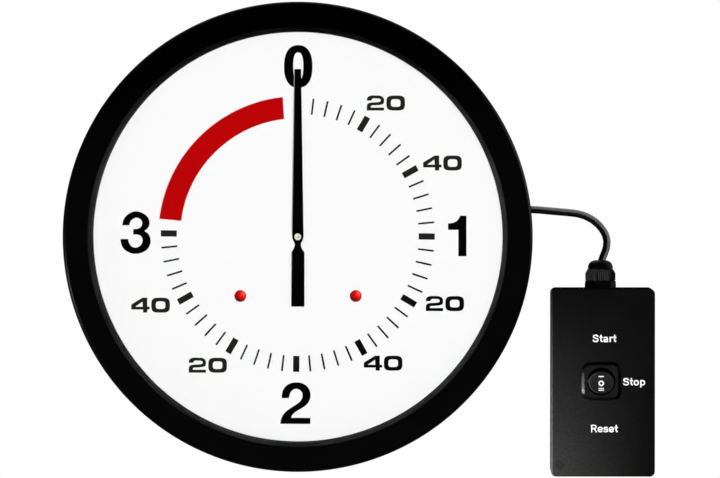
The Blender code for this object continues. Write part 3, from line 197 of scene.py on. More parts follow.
def insetFace(piece, height, thickness, rise):
    # draws the flat face at this height in, and lifts what is left of it; that face stays selected
    pick(piece)
    openMesh("FACE", "DESELECT")
    setMode("OBJECT")
    for face in piece.data.polygons:
        face.select = abs(face.center.z / mm - height) < .01
    setMode("EDIT")
    bpy.ops.mesh.inset(thickness=thickness * mm, depth=rise * mm)
    setMode("OBJECT")


def softEdges(piece, width, segments=2, angle=40):
    modify(piece, "BEVEL", width=width * mm, segments=segments, limit_method="ANGLE", angle_limit=math.radians(angle))


def asMesh(name, curve):
    # a new object from a curve, made a mesh
    piece = bpy.data.objects.new(name, curve)
    bpy.context.collection.objects.link(piece)
    pick(piece)
    bpy.ops.object.convert(target="MESH")
    return bpy.context.object


def flatShape(loops, low, high, resolution=6):
    # a flat plate from closed outlines of (x, y, smooth) points; inner outlines are holes
    curve = bpy.data.curves.new("flatShape", "CURVE")
    curve.dimensions = "2D"
    curve.fill_mode = "BOTH"
    curve.extrude = (high - low) / 2 * mm
    for loop in loops:
        spline = curve.splines.new("BEZIER")
        spline.bezier_points.add(len(loop) - 1)
        spline.use_cyclic_u = True
        spline.resolution_u = resolution
        for point, (x, y, smooth) in zip(spline.bezier_points, loop):
            point.co = (x * mm, y * mm, 0)
            point.handle_left_type = point.handle_right_type = "AUTO" if smooth else "VECTOR"
    piece = moved(asMesh("flatShape", curve), (0, 0, (low + high) / 2))
    closeUp()
    return piece


def moved(piece, offset, turn=0, tilt=0):
    pick(piece)
    piece.rotation_euler = (tilt, 0, turn)
    piece.location = [o * mm for o in offset]
    settle(rotation=True)
    return piece


def copied(piece):
    twin = piece.copy()
    twin.data = piece.data.copy()
    bpy.context.collection.objects.link(twin)
    return twin


def standUp(piece):
    pick(piece)
    piece.rotation_euler = (math.pi / 2, 0, 0)
    settle(rotation=True, scale=True)


def finishPiece(piece, name, material, body, standsFor=(), smooth=35):
    standUp(piece)
    bpy.ops.object.shade_smooth_by_angle(angle=math.radians(smooth))
    modify(piece, "WEIGHTED_NORMAL", keep_sharp=True)
    piece.data.materials.clear()
    piece.data.materials.append(material)
    piece.name = piece.data.name = name
    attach(piece, body)
    if standsFor:
        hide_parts(*standsFor)


def hexColour(code):
    channels = [int(code[i:i + 2], 16) / 255 for i in (1, 3, 5)]
    return [c / 12.92 if c <= .04045 else ((c + .055) / 1.055) ** 2.4 for c in channels] + [1]


def wire(source, socket):
    # a node stands for its first output in use
    if isinstance(source, bpy.types.Node):
        source = next(output for output in source.outputs if output.enabled)
    socket.id_data.links.new(source, socket)


def addNode(material, kind, settings=None, links=None):
    # settings are properties, or inputs by name or number, where a colour is a hex code
    node = material.node_tree.nodes.new("ShaderNode" + kind)
    for key, value in (settings or {}).items():
        if isinstance(key, str) and hasattr(node, key):
            setattr(node, key, value)
        else:
            node.inputs[key].default_value = hexColour(value) if isinstance(value, str) else value
    for key, source in (links or {}).items():
        wire(source, node.inputs[key])
    return node


def startMaterial(name, colour, roughness, tones=None, grain=None, dull=None, bump=None,
                  metallic=0, specular=.5, stretch=None):
    # The first three are the plain finish. A noise, given by scale, detail and roughness, moves the
    # colour between two tones, the roughness between two values, and the surface by a bump of
    # this strength and depth in mm.
    material = bpy.data.materials.new(name)
    material.use_nodes = True
    inputs = material.node_tree.nodes["Principled BSDF"].inputs
    inputs["Base Color"].default_value = hexColour(colour)
    inputs["Roughness"].default_value = roughness
    inputs["Metallic"].default_value = metallic
    inputs["Specular IOR Level"].default_value = specular
    place = addNode(material, "TexCoord").outputs["Object"]
    noise = tone = None
    if grain:
        where = addNode(material, "Mapping", {"Scale": stretch}, {0: place}) if stretch else place
        shape = dict(zip(("Scale", "Detail", "Roughness"), grain))
        noise = addNode(material, "TexNoise", shape, {0: where}).outputs["Fac"]
    if tones:
        tone = addNode(material, "Mix", rgba | {6: tones[0], 7: tones[1]}, {0: noise})
        wire(tone, inputs["Base Color"])
    if dull:
        uneven = addNode(material, "MapRange", dict(zip(("To Min", "To Max"), dull)), {0: noise})
        wire(uneven, inputs["Roughness"])
    if bump:
        relief = addNode(material, "Bump", {"Strength": bump[0], "Distance": bump[1] * mm}, {"Height": noise})
        wire(relief, inputs["Normal"])
    return material, inputs, place, noise, tone


# settings that many nodes share
rgba = {"data_type": "RGBA"}
ease = {"interpolation_type": "SMOOTHSTEP"}
times = {"operation": "MULTIPLY"}
plus = {"operation": "MULTIPLY_ADD"}
length = {"operation": "LENGTH"}
scaleBy = {"operation": "SCALE"}
dot = {"operation": "DOT_PRODUCT"}
away = {"operation": "DISTANCE"}

# Black ABS, injection moulded with a satin sparked skin: it gives next to no colour, and a broad
# dull shine on the edges. Towards the top both its colour and its shine are darkened: painted shade.
# The real grain is 0.1 mm, drawn at 0.5 mm so that it shows.
blackAbs, inputs, place, _, tone = startMaterial(
    "blackAbs", "#040404", .3, ("#010101", "#040404"), (45, 2), (.25, .34), specular=.1)
parts = addNode(blackAbs, "SeparateXYZ", links={0: place})
# painted shade: from 30 mm above the middle up to 130 mm, the colour and the shine fall to 15 percent
paintedTopShade = addNode(blackAbs, "MapRange", ease | {"From Min": .13, "From Max": .03, "To Min": .15}, {0: parts.outputs["Z"]})
wire(addNode(blackAbs, "VectorMath", scaleBy, {0: tone, "Scale": paintedTopShade}), inputs["Base Color"])
wire(addNode(blackAbs, "Math", times | {1: .115}, {0: paintedTopShade}), inputs["Specular IOR Level"])
grain = addNode(blackAbs, "TexNoise", {"Scale": 2000, "Detail": 3}, {0: place})
relief = addNode(blackAbs, "Bump", {"Strength": .12, "Distance": .05 * mm}, {"Height": grain.outputs["Fac"]})
wire(relief, inputs["Normal"])

# The same ABS in the coarse grain of the case's back, which is greyer than the polished bezel.
grainedAbs = startMaterial(
    "grainedAbs", "#141414", .5, ("#101010", "#1b1b1b"), (900, 4, .6), bump=(.3, .1), specular=.35)[0]

# Charcoal ABS of the hand-held box: a coarser moulded texture, greyer than the clock's case, and painted
# light: lighter towards the lower left corner, with a painted highlight along the left edge.
charcoalAbs, inputs, place, blot, tone = startMaterial(
    "charcoalAbs", "#1c1c1c", .4, ("#060606", "#3b3b3b"), (60, 3), (.32, .46), specular=.14)
grain = addNode(charcoalAbs, "TexNoise", {"Scale": 1500, "Detail": 4, "Roughness": .6}, {0: place})
# the share of painted light, from 0 at the box's right side to 1 at its left, and from 0 near its top to 1 at its
# bottom
share = addNode(charcoalAbs, "Mapping", {"Scale": (-15.08, 1, -8.333), "Location": (3.435, 0, -.2717)}, {0: place})
sides = addNode(charcoalAbs, "SeparateXYZ", links={0: share})
paintedLowerLeftLight = addNode(
    charcoalAbs, "Math", times | {"use_clamp": True}, {0: sides.outputs["X"], 1: sides.outputs["Z"]})
paintedLightShare = addNode(charcoalAbs, "Math", {"operation": "POWER", 1: 1.5}, {0: paintedLowerLeftLight})
wire(addNode(charcoalAbs, "Math", plus | {1: .06}, {0: blot, 2: paintedLightShare}), tone.inputs[0])
parts = addNode(charcoalAbs, "SeparateXYZ", links={0: place})
# painted highlight along the left edge, brighter towards the bottom
edge = addNode(charcoalAbs, "MapRange", ease | {"From Min": .16335, "From Max": .1623}, {0: parts.outputs["X"]})
lower = addNode(charcoalAbs, "MapRange", {"From Min": -.03, "From Max": -.15}, {0: parts.outputs["Z"]})
paintedHighlight = addNode(charcoalAbs, "Math", times, {0: edge, 1: lower})
toneWithHighlight = addNode(charcoalAbs, "Mix", rgba | {7: "#7c7c7c"}, {0: paintedHighlight, 6: tone})
# a faint round sink mark over a boss, a dip whose colour is darkened as painted shade, and the specks of the texture
far = addNode(charcoalAbs, "VectorMath", away | {1: (.1671, -.041, -.1456)}, {0: place})
sink = addNode(charcoalAbs, "MapRange", ease | {"From Min": 2.0 * mm, "From Max": 3.9 * mm}, {0: far})
paintedSinkShade = addNode(charcoalAbs, "MapRange", {"To Min": .73}, {0: sink})
speck = addNode(charcoalAbs, "TexNoise", {"Scale": 800, "Detail": 2}, {0: place})
mottle = addNode(
    charcoalAbs, "MapRange", {"From Min": .3, "From Max": .7, "To Min": .78, "To Max": 1.22}, {0: speck.outputs["Fac"]})
scale = addNode(charcoalAbs, "Math", times, {0: paintedSinkShade, 1: mottle})
wire(addNode(charcoalAbs, "VectorMath", scaleBy, {0: toneWithHighlight, "Scale": scale}), inputs["Base Color"])
height = addNode(charcoalAbs, "Math", plus | {1: .06}, {0: grain.outputs["Fac"], 2: sink})
wire(addNode(charcoalAbs, "Bump", {"Strength": .7, "Distance": .4 * mm}, {"Height": height}), inputs["Normal"])
# dust has dulled the end that faces up
turn = addNode(charcoalAbs, "VectorMath", dot | {1: (0, 0, 1)}, {0: place.node.outputs["Normal"]})
dusty = addNode(charcoalAbs, "MapRange", {"From Min": .2, "From Max": .7, "To Min": .14, "To Max": 0}, {0: turn})
wire(dusty, inputs["Specular IOR Level"])

# Black nylon, glass filled and moulded: smoother than ABS, with faint flow marks, and painted light on
# the ribbed nut: greyer on the flats that face front left, most on its front left flat.
blackNylon, inputs, place, flow, tone = startMaterial(
    "blackNylon", "#121212", .3, ("#020202", "#363636"), (260, 3), (.26, .42), (.08, .1), specular=.05)
# painted light: the flats that face front left are greyer
turn = addNode(blackNylon, "VectorMath", dot | {1: (-.77, -.64, 0)}, {0: place.node.outputs["Normal"]})
toward = addNode(blackNylon, "MapRange", links={0: turn})
paintedLightShare = addNode(blackNylon, "Math", {"operation": "POWER", 1: 2.6}, {0: toward})
parts = addNode(blackNylon, "SeparateXYZ", links={0: place})
under, above = (
    addNode(blackNylon, "MapRange", {"From Min": start * mm, "From Max": end * mm}, {0: parts.outputs["Z"]})
    for start, end in ((-20.4, -21.2), (-28.4, -27.6)))      # the nut's upper and lower ends
ribbed = addNode(blackNylon, "Math", times, {0: under, 1: above})
paintedNutLight = addNode(blackNylon, "Math", times, {0: paintedLightShare, 1: ribbed})
wire(addNode(blackNylon, "Math", plus | {1: .04}, {0: flow, 2: paintedNutLight}), tone.inputs[0])

# Nylon 66 of the switch: its face is spark textured and grey; its flanks and the well are dark, painted shade,
# and the shine is strongest facing left, so the left flank catches a clear line of light. The paddle is of a greyer
# batch.
nylons = []
for name, flank, dark, light in (
        ("switchNylon", "#000000", "#0f0f0f", "#171717"), ("paddleNylon", "#0c0c0c", "#171717", "#212121")):
    nylon, inputs, place, _, tone = startMaterial(
        name, dark, .24, (dark, light), (1400, 3), (.2, .3), (.08, .05), specular=.7)
    facing = place.node.outputs["Normal"]
    turn = addNode(nylon, "VectorMath", dot | {1: (0, -1, 0)}, {0: facing})
    # the flanks and the well take the flank tone: painted shade
    front = addNode(nylon, "MapRange", {"From Min": .85, "From Max": .96}, {0: turn})
    depth = addNode(nylon, "SeparateXYZ", links={0: place})
    outside = addNode(nylon, "MapRange", {"From Min": -42.5 * mm, "From Max": -43.5 * mm}, {0: depth.outputs["Y"]})
    grey = addNode(nylon, "Math", times, {0: front, 1: outside})
    face = addNode(nylon, "Mix", rgba | {6: flank}, {0: grey, 7: tone})
    wire(face, inputs["Base Color"])
    parts = addNode(nylon, "SeparateXYZ", links={0: facing})
    # the shine is stronger on surfaces facing left and weaker on those facing right
    shineByFacing = addNode(
        nylon, "MapRange", {"From Min": -.2, "From Max": .2, "To Min": .7, "To Max": .08}, {0: parts.outputs["X"]})
    wire(shineByFacing, inputs["Specular IOR Level"])
    nylons.append(nylon)
switchNylon, paddleNylon = nylons
# a painted highlight on the left rim of the paddle, the last of the two: place about the paddle's middle
about = addNode(nylon, "Mapping", {"Scale": (1, 0, 1.1494), "Location": (-.1939, 0, .10655)}, {0: place})
out = addNode(nylon, "VectorMath", length, {0: about})
rim = addNode(nylon, "MapRange", ease | {"From Min": 7.25 * mm, "From Max": 7.6 * mm}, {0: out})
sides = addNode(nylon, "SeparateXYZ", links={0: about})
left = addNode(nylon, "MapRange", ease | {"From Min": -1.5 * mm, "From Max": -6 * mm}, {0: sides.outputs["X"]})
paintedHighlight = addNode(nylon, "Math", times, {0: rim, 1: left})
wire(addNode(nylon, "Mix", rgba | {7: "#464646"}, {0: paintedHighlight, 6: face}), inputs["Base Color"])

# Black rubber, moulded: quite matt, with dust in its pores.
blackRubber = startMaterial(
    "blackRubber", "#0b0b0b", .75, ("#080808", "#161616"), (900, 4), bump=(.25, .08), specular=.25)[0]

# Black PVC sheath, extruded: satin, slightly uneven along its length, and grey on the
# outer side of its bend: a painted reflection.
blackPvc, inputs, place, _, tone = startMaterial(
    "blackPvc", "#020202", .3, ("#010101", "#030303"), (180, 2), bump=(.15, .2))
bendMiddle = (.178, 0, -.0085)
arm = addNode(blackPvc, "VectorMath", {"operation": "SUBTRACT", 1: bendMiddle}, {0: place})
level = addNode(blackPvc, "VectorMath", times | {1: (1, 0, 1)}, {0: arm})
outward = addNode(blackPvc, "VectorMath", {"operation": "NORMALIZE"}, {0: level})
turn = addNode(blackPvc, "VectorMath", dot, {0: outward, 1: place.node.outputs["Normal"]})
# painted reflection on the outer half of the bend
outer = addNode(blackPvc, "MapRange", ease | {"From Min": .08, "From Max": .28}, {0: turn})
wire(addNode(blackPvc, "Mix", rgba | {7: "#595959"}, {0: outer, 6: tone}), inputs["Base Color"])

# White dial: a sprayed and screen-printed plate, matt, with a barely visible orange peel.
whiteDial = startMaterial(
    "whiteDial", "#fcfcfc", .55, ("#fafafa", "#fefefe"), (700, 2), bump=(.05, .03), specular=.3)[0]

# Screen-printed ink: flat and matt, slightly uneven in cover. Black, red, white, and a greyer
# black that is heavier towards the lower right.
blackInk = startMaterial("blackInk", "#010101", .5, ("#000000", "#020202"), (1200, 3), specular=.02)[0]
redInk = startMaterial("redInk", "#bd0204", .5, ("#b40204", "#c00205"), (1000, 3), specular=.05)[0]
whiteInk = startMaterial("whiteInk", "#f6f6f6", .5, ("#f0f0f0", "#fbfbfb"), (1500, 3), specular=.3)[0]
greyInk, inputs, place, _, tone = startMaterial(
    "greyInk", "#1e1f1b", .5, ("#1a1b17", "#242520"), (1200, 3), specular=.05)
lower = addNode(greyInk, "VectorMath", dot | {1: (.6, 0, -.8)}, {0: place})
heavy = addNode(greyInk, "MapRange", ease | {"From Min": .05, "From Max": .085}, {0: lower})
wire(addNode(greyInk, "Mix", rgba | {7: "#050505"}, {0: heavy, 6: tone}), inputs["Base Color"])

# Clear acrylic sheet, cast: nearly nothing is seen of it but a thin shine.
clearAcrylic, inputs, *_ = startMaterial("clearAcrylic", "#0c0c0c", .03, grain=(14, 1), bump=(.02, .1))
inputs["Alpha"].default_value = .05

# Black stove enamel on the stamped aluminium hand: smooth, half gloss, with a painted highlight along the left arris.
handEnamel, inputs, place, _, tone = startMaterial(
    "handEnamel", "#020202", .25, ("#010101", "#9c9c9a"), (500, 2), (.2, .28), (.05, .05), specular=.08)
across = addNode(handEnamel, "VectorMath", dot | {1: (1, 0, -.01487)}, {0: place})     # square to the left side
# painted highlight: a light grey strip along the left arris
wire(addNode(handEnamel, "MapRange", {"From Min": -3.42 * mm, "From Max": -3.62 * mm}, {0: across}), tone.inputs[0])

# Brass, turned and stamped: warm yellow metal with fine tool lines and dull patches.
turnedBrass, inputs, place, *_ = startMaterial(
    "turnedBrass", "#e0b861", .32, ("#c99a45", "#ecc877"), (120, 3), (.24, .4), metallic=1)
rings = {"wave_type": "RINGS", "rings_direction": "Y", "Scale": 900, "Distortion": 1.5}
lines = addNode(turnedBrass, "TexWave", rings, {0: place})
relief = addNode(turnedBrass, "Bump", {"Strength": .1, "Distance": .02 * mm}, {"Height": lines.outputs["Fac"]})
wire(relief, inputs["Normal"])

# Nickel-silver plate on the hub screw: a pale, creamy metal with a soft shine, and painted shade in its
# slot, a little to the right of the middle.
paleBrass, inputs, place, _, tone = startMaterial(
    "paleBrass", "#fff8e2", .38, ("#f3ead0", "#fffbec"), (900, 2), metallic=.15)
slot = addNode(paleBrass, "VectorMath", away | {1: (.0004, -.0365, -.0001)}, {0: place})
unshadedOutsideSlot = addNode(paleBrass, "MapRange", ease | {"From Min": .25 * mm, "From Max": .8 * mm}, {0: slot})
wire(addNode(paleBrass, "Mix", rgba | {6: "#4c4536"}, {0: unshadedOutsideSlot, 7: tone}), inputs["Base Color"])

# Steel, zinc plated: grey-blue bright metal, drawn along one way.
zincSteel = startMaterial(
    "zincSteel", "#c3c5c8", .35, ("#aeb1b6", "#d3d4d6"), (160, 4), (.26, .46), metallic=1, stretch=(1, 1, 12))[0]

# Acetal wheels, moulded: waxy off-white.
acetal = startMaterial("acetal", "#e4e0d6", .4, ("#dcd8cc", "#ebe7dd"), (240, 2), specular=.45)[0]

# Tinned spring blades: soft grey metal, slightly blotched by the dip.
dippedTin = startMaterial("dippedTin", "#d2d2cf", .4, ("#bdbdb9", "#dededb"), (500, 3), metallic=1)[0]

# Red epoxy of the two lamps: deep in colour, glossy and glowing a little, with painted light: lighter, and
# with a painted highlight, a little above and to the right of the middle, and darker at the lower left.
redEpoxy, inputs, place, core, tone = startMaterial(
    "redEpoxy", "#c80a12", .14, ("#6a0000", "#e00508"), (380, 1), specular=.12)
# painted light: lighter on the surfaces that face up, right and front
turn = addNode(redEpoxy, "VectorMath", dot | {1: (.5, -.62, .42)}, {0: place.node.outputs["Normal"]})
cloudAndPaintedLight = addNode(redEpoxy, "Math", plus | {1: .12}, {0: core, 2: turn})
wire(addNode(redEpoxy, "MapRange", {"From Min": .1, "From Max": .72}, {0: cloudAndPaintedLight}), tone.inputs[0])
# painted highlight towards the upper right
high = addNode(redEpoxy, "MapRange", ease | {"From Min": .74, "From Max": 1.08}, {0: cloudAndPaintedLight})
glow = addNode(redEpoxy, "Mix", rgba | {7: "#ff6a58"}, {0: high, 6: tone})
wire(glow, inputs["Base Color"])
# the glow carries the same painted light and highlight
wire(glow, inputs["Emission Color"])
inputs["Emission Strength"].default_value = .18

# Circuit board under green solder mask: copper tracks 0.6 mm wide show through as paler lines.
boardGreen, inputs, place, *_ = startMaterial("boardGreen", "#1f6b3c", .4)
mask = {"Scale": 120, "Mortar Size": .07, "Color1": "#17572f", "Color2": "#1a5f34", "Mortar": "#2f8a50"}
tracks = addNode(boardGreen, "TexBrick", mask, {0: place})
wire(tracks, inputs["Base Color"])
relief = addNode(boardGreen, "Bump", {"Strength": .2, "Distance": .05 * mm}, {"Height": tracks.outputs["Fac"]})
wire(relief, inputs["Normal"])

bySlot = {
    "black_abs": blackAbs, "charcoal_abs": charcoalAbs, "black_nylon": blackNylon, "black_rubber": blackRubber,
    "black_pvc": blackPvc, "acrylic": clearAcrylic, "white_dial": whiteDial, "black_hand": handEnamel,
    "brass": turnedBrass, "steel": zincSteel, "acetal": acetal, "red_lamp": redEpoxy,
    "green_board": boardGreen, "tin": dippedTin}
for row in frame["record"]["subparts"]:
    for holder in frame["nodes"][row["node"]].material_slots:
        holder.material = bySlot[row["material_slot"]]
print("materials are on the CAD nodes")

camera = {
    "aim": (.03995, -.042, -.00126),
    "distance": 3.3,      # m, a long lens, so that the box beside the clock is seen straight on
    "yaw": 1.1,           # degrees to the right of the dial's middle
    "height": 1.0,        # degrees above it
    "widthSeen": .4596,   # m across the picture at the aim
    "sensor": 36}
yaw, height = math.radians(camera["yaw"]), math.radians(camera["height"])
back = (math.sin(yaw) * math.cos(height), -math.cos(yaw) * math.cos(height), math.sin(height))
bpy.ops.object.camera_add(
    location=[a + camera["distance"] * b for a, b in zip(camera["aim"], back)],
    rotation=(math.pi / 2 - height, 0, yaw))
eye = bpy.context.object
eye.data.sensor_width = camera["sensor"]
eye.data.lens = camera["sensor"] * camera["distance"] / camera["widthSeen"]
eye.data.clip_start = .05
bpy.context.scene.camera = eye

cord = {
    "radius": 2.4,
    "length": .0762,      # m, as measured along the route
    "route": [
        (147.1, 17.3, 18.5), (153.0, 17.1, 18.5), (161.0, 16.4, 18.6), (169.0, 15.7, 18.8), (174.5, 15.2, 19.1),
        (180.4, 14.3, 19.4), (186.3, 12.1, 19.8), (191.4, 8.6, 20.2), (195.3, 4.2, 20.5), (197.5, -.3, 20.8),
        (197.9, -5.2, 21.0), (196.8, -9.8, 21.0), (195.3, -13.6, 21.0), (194.5, -16.4, 21.0), (194.2, -19.0, 21.0)]}
line = bpy.data.curves.new("cordLine", "CURVE")
line.dimensions = "3D"
line.bevel_depth = cord["radius"] * mm
line.bevel_resolution = 7
line.use_fill_caps = True
spline = line.splines.new("BEZIER")
spline.bezier_points.add(len(cord["route"]) - 1)
spline.resolution_u = 8
for point, place in zip(spline.bezier_points, cord["route"]):
    point.co = [p * mm for p in place]
    point.handle_left_type = point.handle_right_type = "AUTO"
controlCord = asMesh("controlCord", line)
closeUp()
standUp(controlCord)
bpy.ops.object.shade_smooth_by_angle(angle=math.radians(50))
controlCord.data.materials.append(blackPvc)
controlCord.name = "controlCord"
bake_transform(controlCord)
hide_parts("control_cord")
print("camera and cord")

bezel = {"outer": 150.2, "rounding": 4, "face": 45, "lip": 131.55, "steps": 240}
lip, rounding = bezel["lip"], bezel["rounding"]
profile = arc((bezel["outer"] - rounding, bezel["face"] - rounding), rounding, 90, 0, 10) + [
    (bezel["outer"], 27.3), (149.9, 27), (147.8, 27), (147.5, 27.3), (147.5, 42), (140.7, 42), (140.7, 29.8),
    (138.3, 29.8), (138.3, 40.2), (lip + .2, 40.2), (lip, 40.4), (lip, 40.9), (lip + .15, 41.2), (lip + 2.25, 44.45),
    (lip + 2.5, 44.75), (lip + 2.9, 44.95), (lip + 3.4, 45)]
piece = turned(profile + profile[:1], bezel["steps"])
finishPiece(piece, "bezelRing", blackAbs, "clock", ["bezel"])

case = {"steps": 200, "slotCount": 6, "slotAngle": 222, "slotStep": 2.6, "slotRing": 136.5,
        "screwRing": 144.1, "screws": (30, 90, 150, 210, 270, 330)}      # degrees
profile = [(0, 2.5), (60, 2.5), (135, 2.5), (136, 29.5), (147.2, 29.5), (147.2, 27.2), (147.0, 27), (139.0, 27),
           (138.5, 26.5)] + arc((133.5, 4), 4, 0, -90, 8)
profile += [(128, 0), (127.6, .25), (126.4, .25), (126, 0), (60, 0), (0, 0)]
piece = turned(profile, case["steps"])
pads = [block((8, 16.5, 16.5), (136.0, 17.3, 18.5)), block((16.5, 8, 16.5), (0, -136.0, 13.5))]    # cord, inlet
for pad in pads:
    softEdges(pad, 1.0, 3)
for pad in pads:
    combine(piece, pad, "UNION")
holes = [rod(1.7, 20, 35, onRing(case["screwRing"], degrees), vertices=24) for degrees in case["screws"]]
holes += [rod(4.4, 125, 145, (17.3, 18.5), axis="x"), rod(4.1, -145, -125, (0, 13.5), axis="y")]
for i in range(case["slotCount"]):
    degrees = case["slotAngle"] + (i - (case["slotCount"] - 1) / 2) * case["slotStep"]
    slot = block((12, 2, 13))
    bevelEdges(slot, .95, 4, lambda a, b: abs(a.x - b.x) > 5)
    holes.append(moved(slot, (*onRing(case["slotRing"], degrees), 14.75), turn=math.radians(degrees)))
combine(piece, joined(holes))
for tool in (rod(4.7, -2, 6, (0, 111)), rod(2.6, -2, 6, (0, 122)), block((5.2, 11, 8), (0, 116.5, 1))):     # keyhole
    combine(piece, tool)
finishPiece(piece, "rearShell", grainedAbs, "clock", ["rear_case"])

caseScrew = {"steps": 40, "crossLong": 2.7, "crossWide": .7, "crossDeep": 1.6, "crossAt": 25.2}


def cutCross(screw, form):
    long, wide = form["crossLong"], form["crossWide"]
    for across, along in ((long, wide), (wide, long)):
        combine(screw, block((across, along, form["crossDeep"]), (0, 0, form["crossAt"])))


profile = [(0, 25.0), (1.5, 25.0)] + arc((1.7, 26.0), .95, -80, 0, 5)
profile += [(2.6, 26.8), (1.4, 26.8), (1.4, 36.2), (.7, 37.0), (0, 37.0)]
screw = turned(profile, caseScrew["steps"])
cutCross(screw, caseScrew)
for number, degrees in enumerate(case["screws"], 1):
    twin = moved(copied(screw), (*onRing(case["screwRing"], degrees), 0), turn=math.radians(degrees) * 1.7)
    finishPiece(twin, f"bezelScrew{number}", zincSteel, "clock", [f"bezel_screw_{number}"])
remove(screw)
print("bezel, case and its screws")

bush = {"y": 17.3, "z": 18.5, "steps": 48, "ribs": 3, "ribStep": 1.35}
profile = [(0, 127.7), (3.4, 127.7), (3.9, 128.2), (5.5, 131.4), (4.3, 131.7), (4.3, 140.3), (5.9, 140.3),
           (6.2, 140.6), (6.2, 141.9), (5.8, 142.3), (4.4, 142.4)]
for i in range(bush["ribs"]):
    start = 142.6 + i * bush["ribStep"]
    wide = 4.3 - .3 * i
    profile += [(wide, start), (wide, start + .75), (wide - .55, start + .85), (wide - .55, start + 1.2)]
profile += [(3.4, 146.4), (3.1, 146.8), (0, 146.8)]
piece = turned(profile, bush["steps"], axis="x", centre=(0, bush["y"], bush["z"]))
finishPiece(piece, "cordBush", blackRubber, "clock", ["cord_bush"])

inlet = {"z": 13.5, "steps": 48}
profile = [(0, -127.3), (4.0, -127.3), (4.0, -140.3), (5.6, -140.3), (5.8, -140.5), (5.8, -141.5), (5.5, -141.8),
           (3.05, -141.8), (2.75, -141.5), (2.75, -132.8), (1.0, -132.8), (1.0, -140.7), (.6, -141.2), (0, -141.2)]
piece = turned(profile, inlet["steps"], axis="y", centre=(0, 0, inlet["z"]))
finishPiece(piece, "powerInlet", blackAbs, "clock", ["power_inlet"])
print("bush and inlet")

dial = {"radius": 138, "low": 29.8, "high": 31.3, "lampX": 37, "lampY": -38, "lampHole": 3.85, "handHole": 3.1,
        "centre": (-.17, 1.12), "printTurn": .66}      # the print sits a little off the plate's middle
piece = rod(dial["radius"], dial["low"], dial["high"], vertices=192)
holes = [rod(dial["lampHole"], 25, 35, (x, dial["lampY"])) for x in (dial["lampX"], -dial["lampX"])]
combine(piece, joined([rod(dial["handHole"], 25, 35), *holes]))
finishPiece(piece, "dialPlate", whiteDial, "clock", ["dial_plate"])

profile = [(131.3, 31.6), (137.6, 31.6), (137.9, 31.9), (137.9, 37.3), (137.6, 37.6), (131.3, 37.6), (131.0, 37.3),
           (131.0, 31.9)]
piece = turned(profile + profile[:1], bezel["steps"])
finishPiece(piece, "dialSpacer", blackAbs, "clock", ["dial_spacer"])

inkLow, inkHigh = 31.24, 31.36     # the print stands just proud of the dial
centreX, centreY = dial["centre"]
ticks = {"inner": 77.5, "outer": 87.8, "thin": 1.2, "thick": 4.0, "count": 45}
middle = (ticks["inner"] + ticks["outer"]) / 2
thin, thick = (
    block((ticks["outer"] - ticks["inner"], width, inkHigh - inkLow), (0, 0, (inkLow + inkHigh) / 2))
    for width in (ticks["thin"], ticks["thick"]))
bars = []
for i in range(1, ticks["count"] + 1):
    degrees = 90 - 6 * i - dial["printTurn"]
    x, y = onRing(middle, degrees)
    bar = copied(thin if i % 5 else thick)
    bars.append(moved(bar, (centreX + x, centreY + y, 0), turn=math.radians(degrees)))
remove(thin, thick)
finishPiece(joined(bars), "dialTicks", greyInk, "clock")

band = {"inner": 75.27, "outer": 89.4, "y": .565, "start": 277.15, "end": 353.65, "lean": .27, "count": 24}
loop = []
for radius, lean, sign in ((band["outer"], band["lean"], 1), (band["inner"], -band["lean"], -1)):
    first, last = band["start"] - .5 * lean, band["end"] + lean
    for i in range(band["count"] + 1)[::sign]:
        angle = math.radians(first + (last - first) * i / band["count"])
        smooth = 0 < i < band["count"]
        loop.append((centreX + radius * math.sin(angle), band["y"] + radius * math.cos(angle), smooth))
finishPiece(flatShape([loop], inkLow, inkHigh), "redBand", redInk, "clock")
print("dial, ticks and red band")

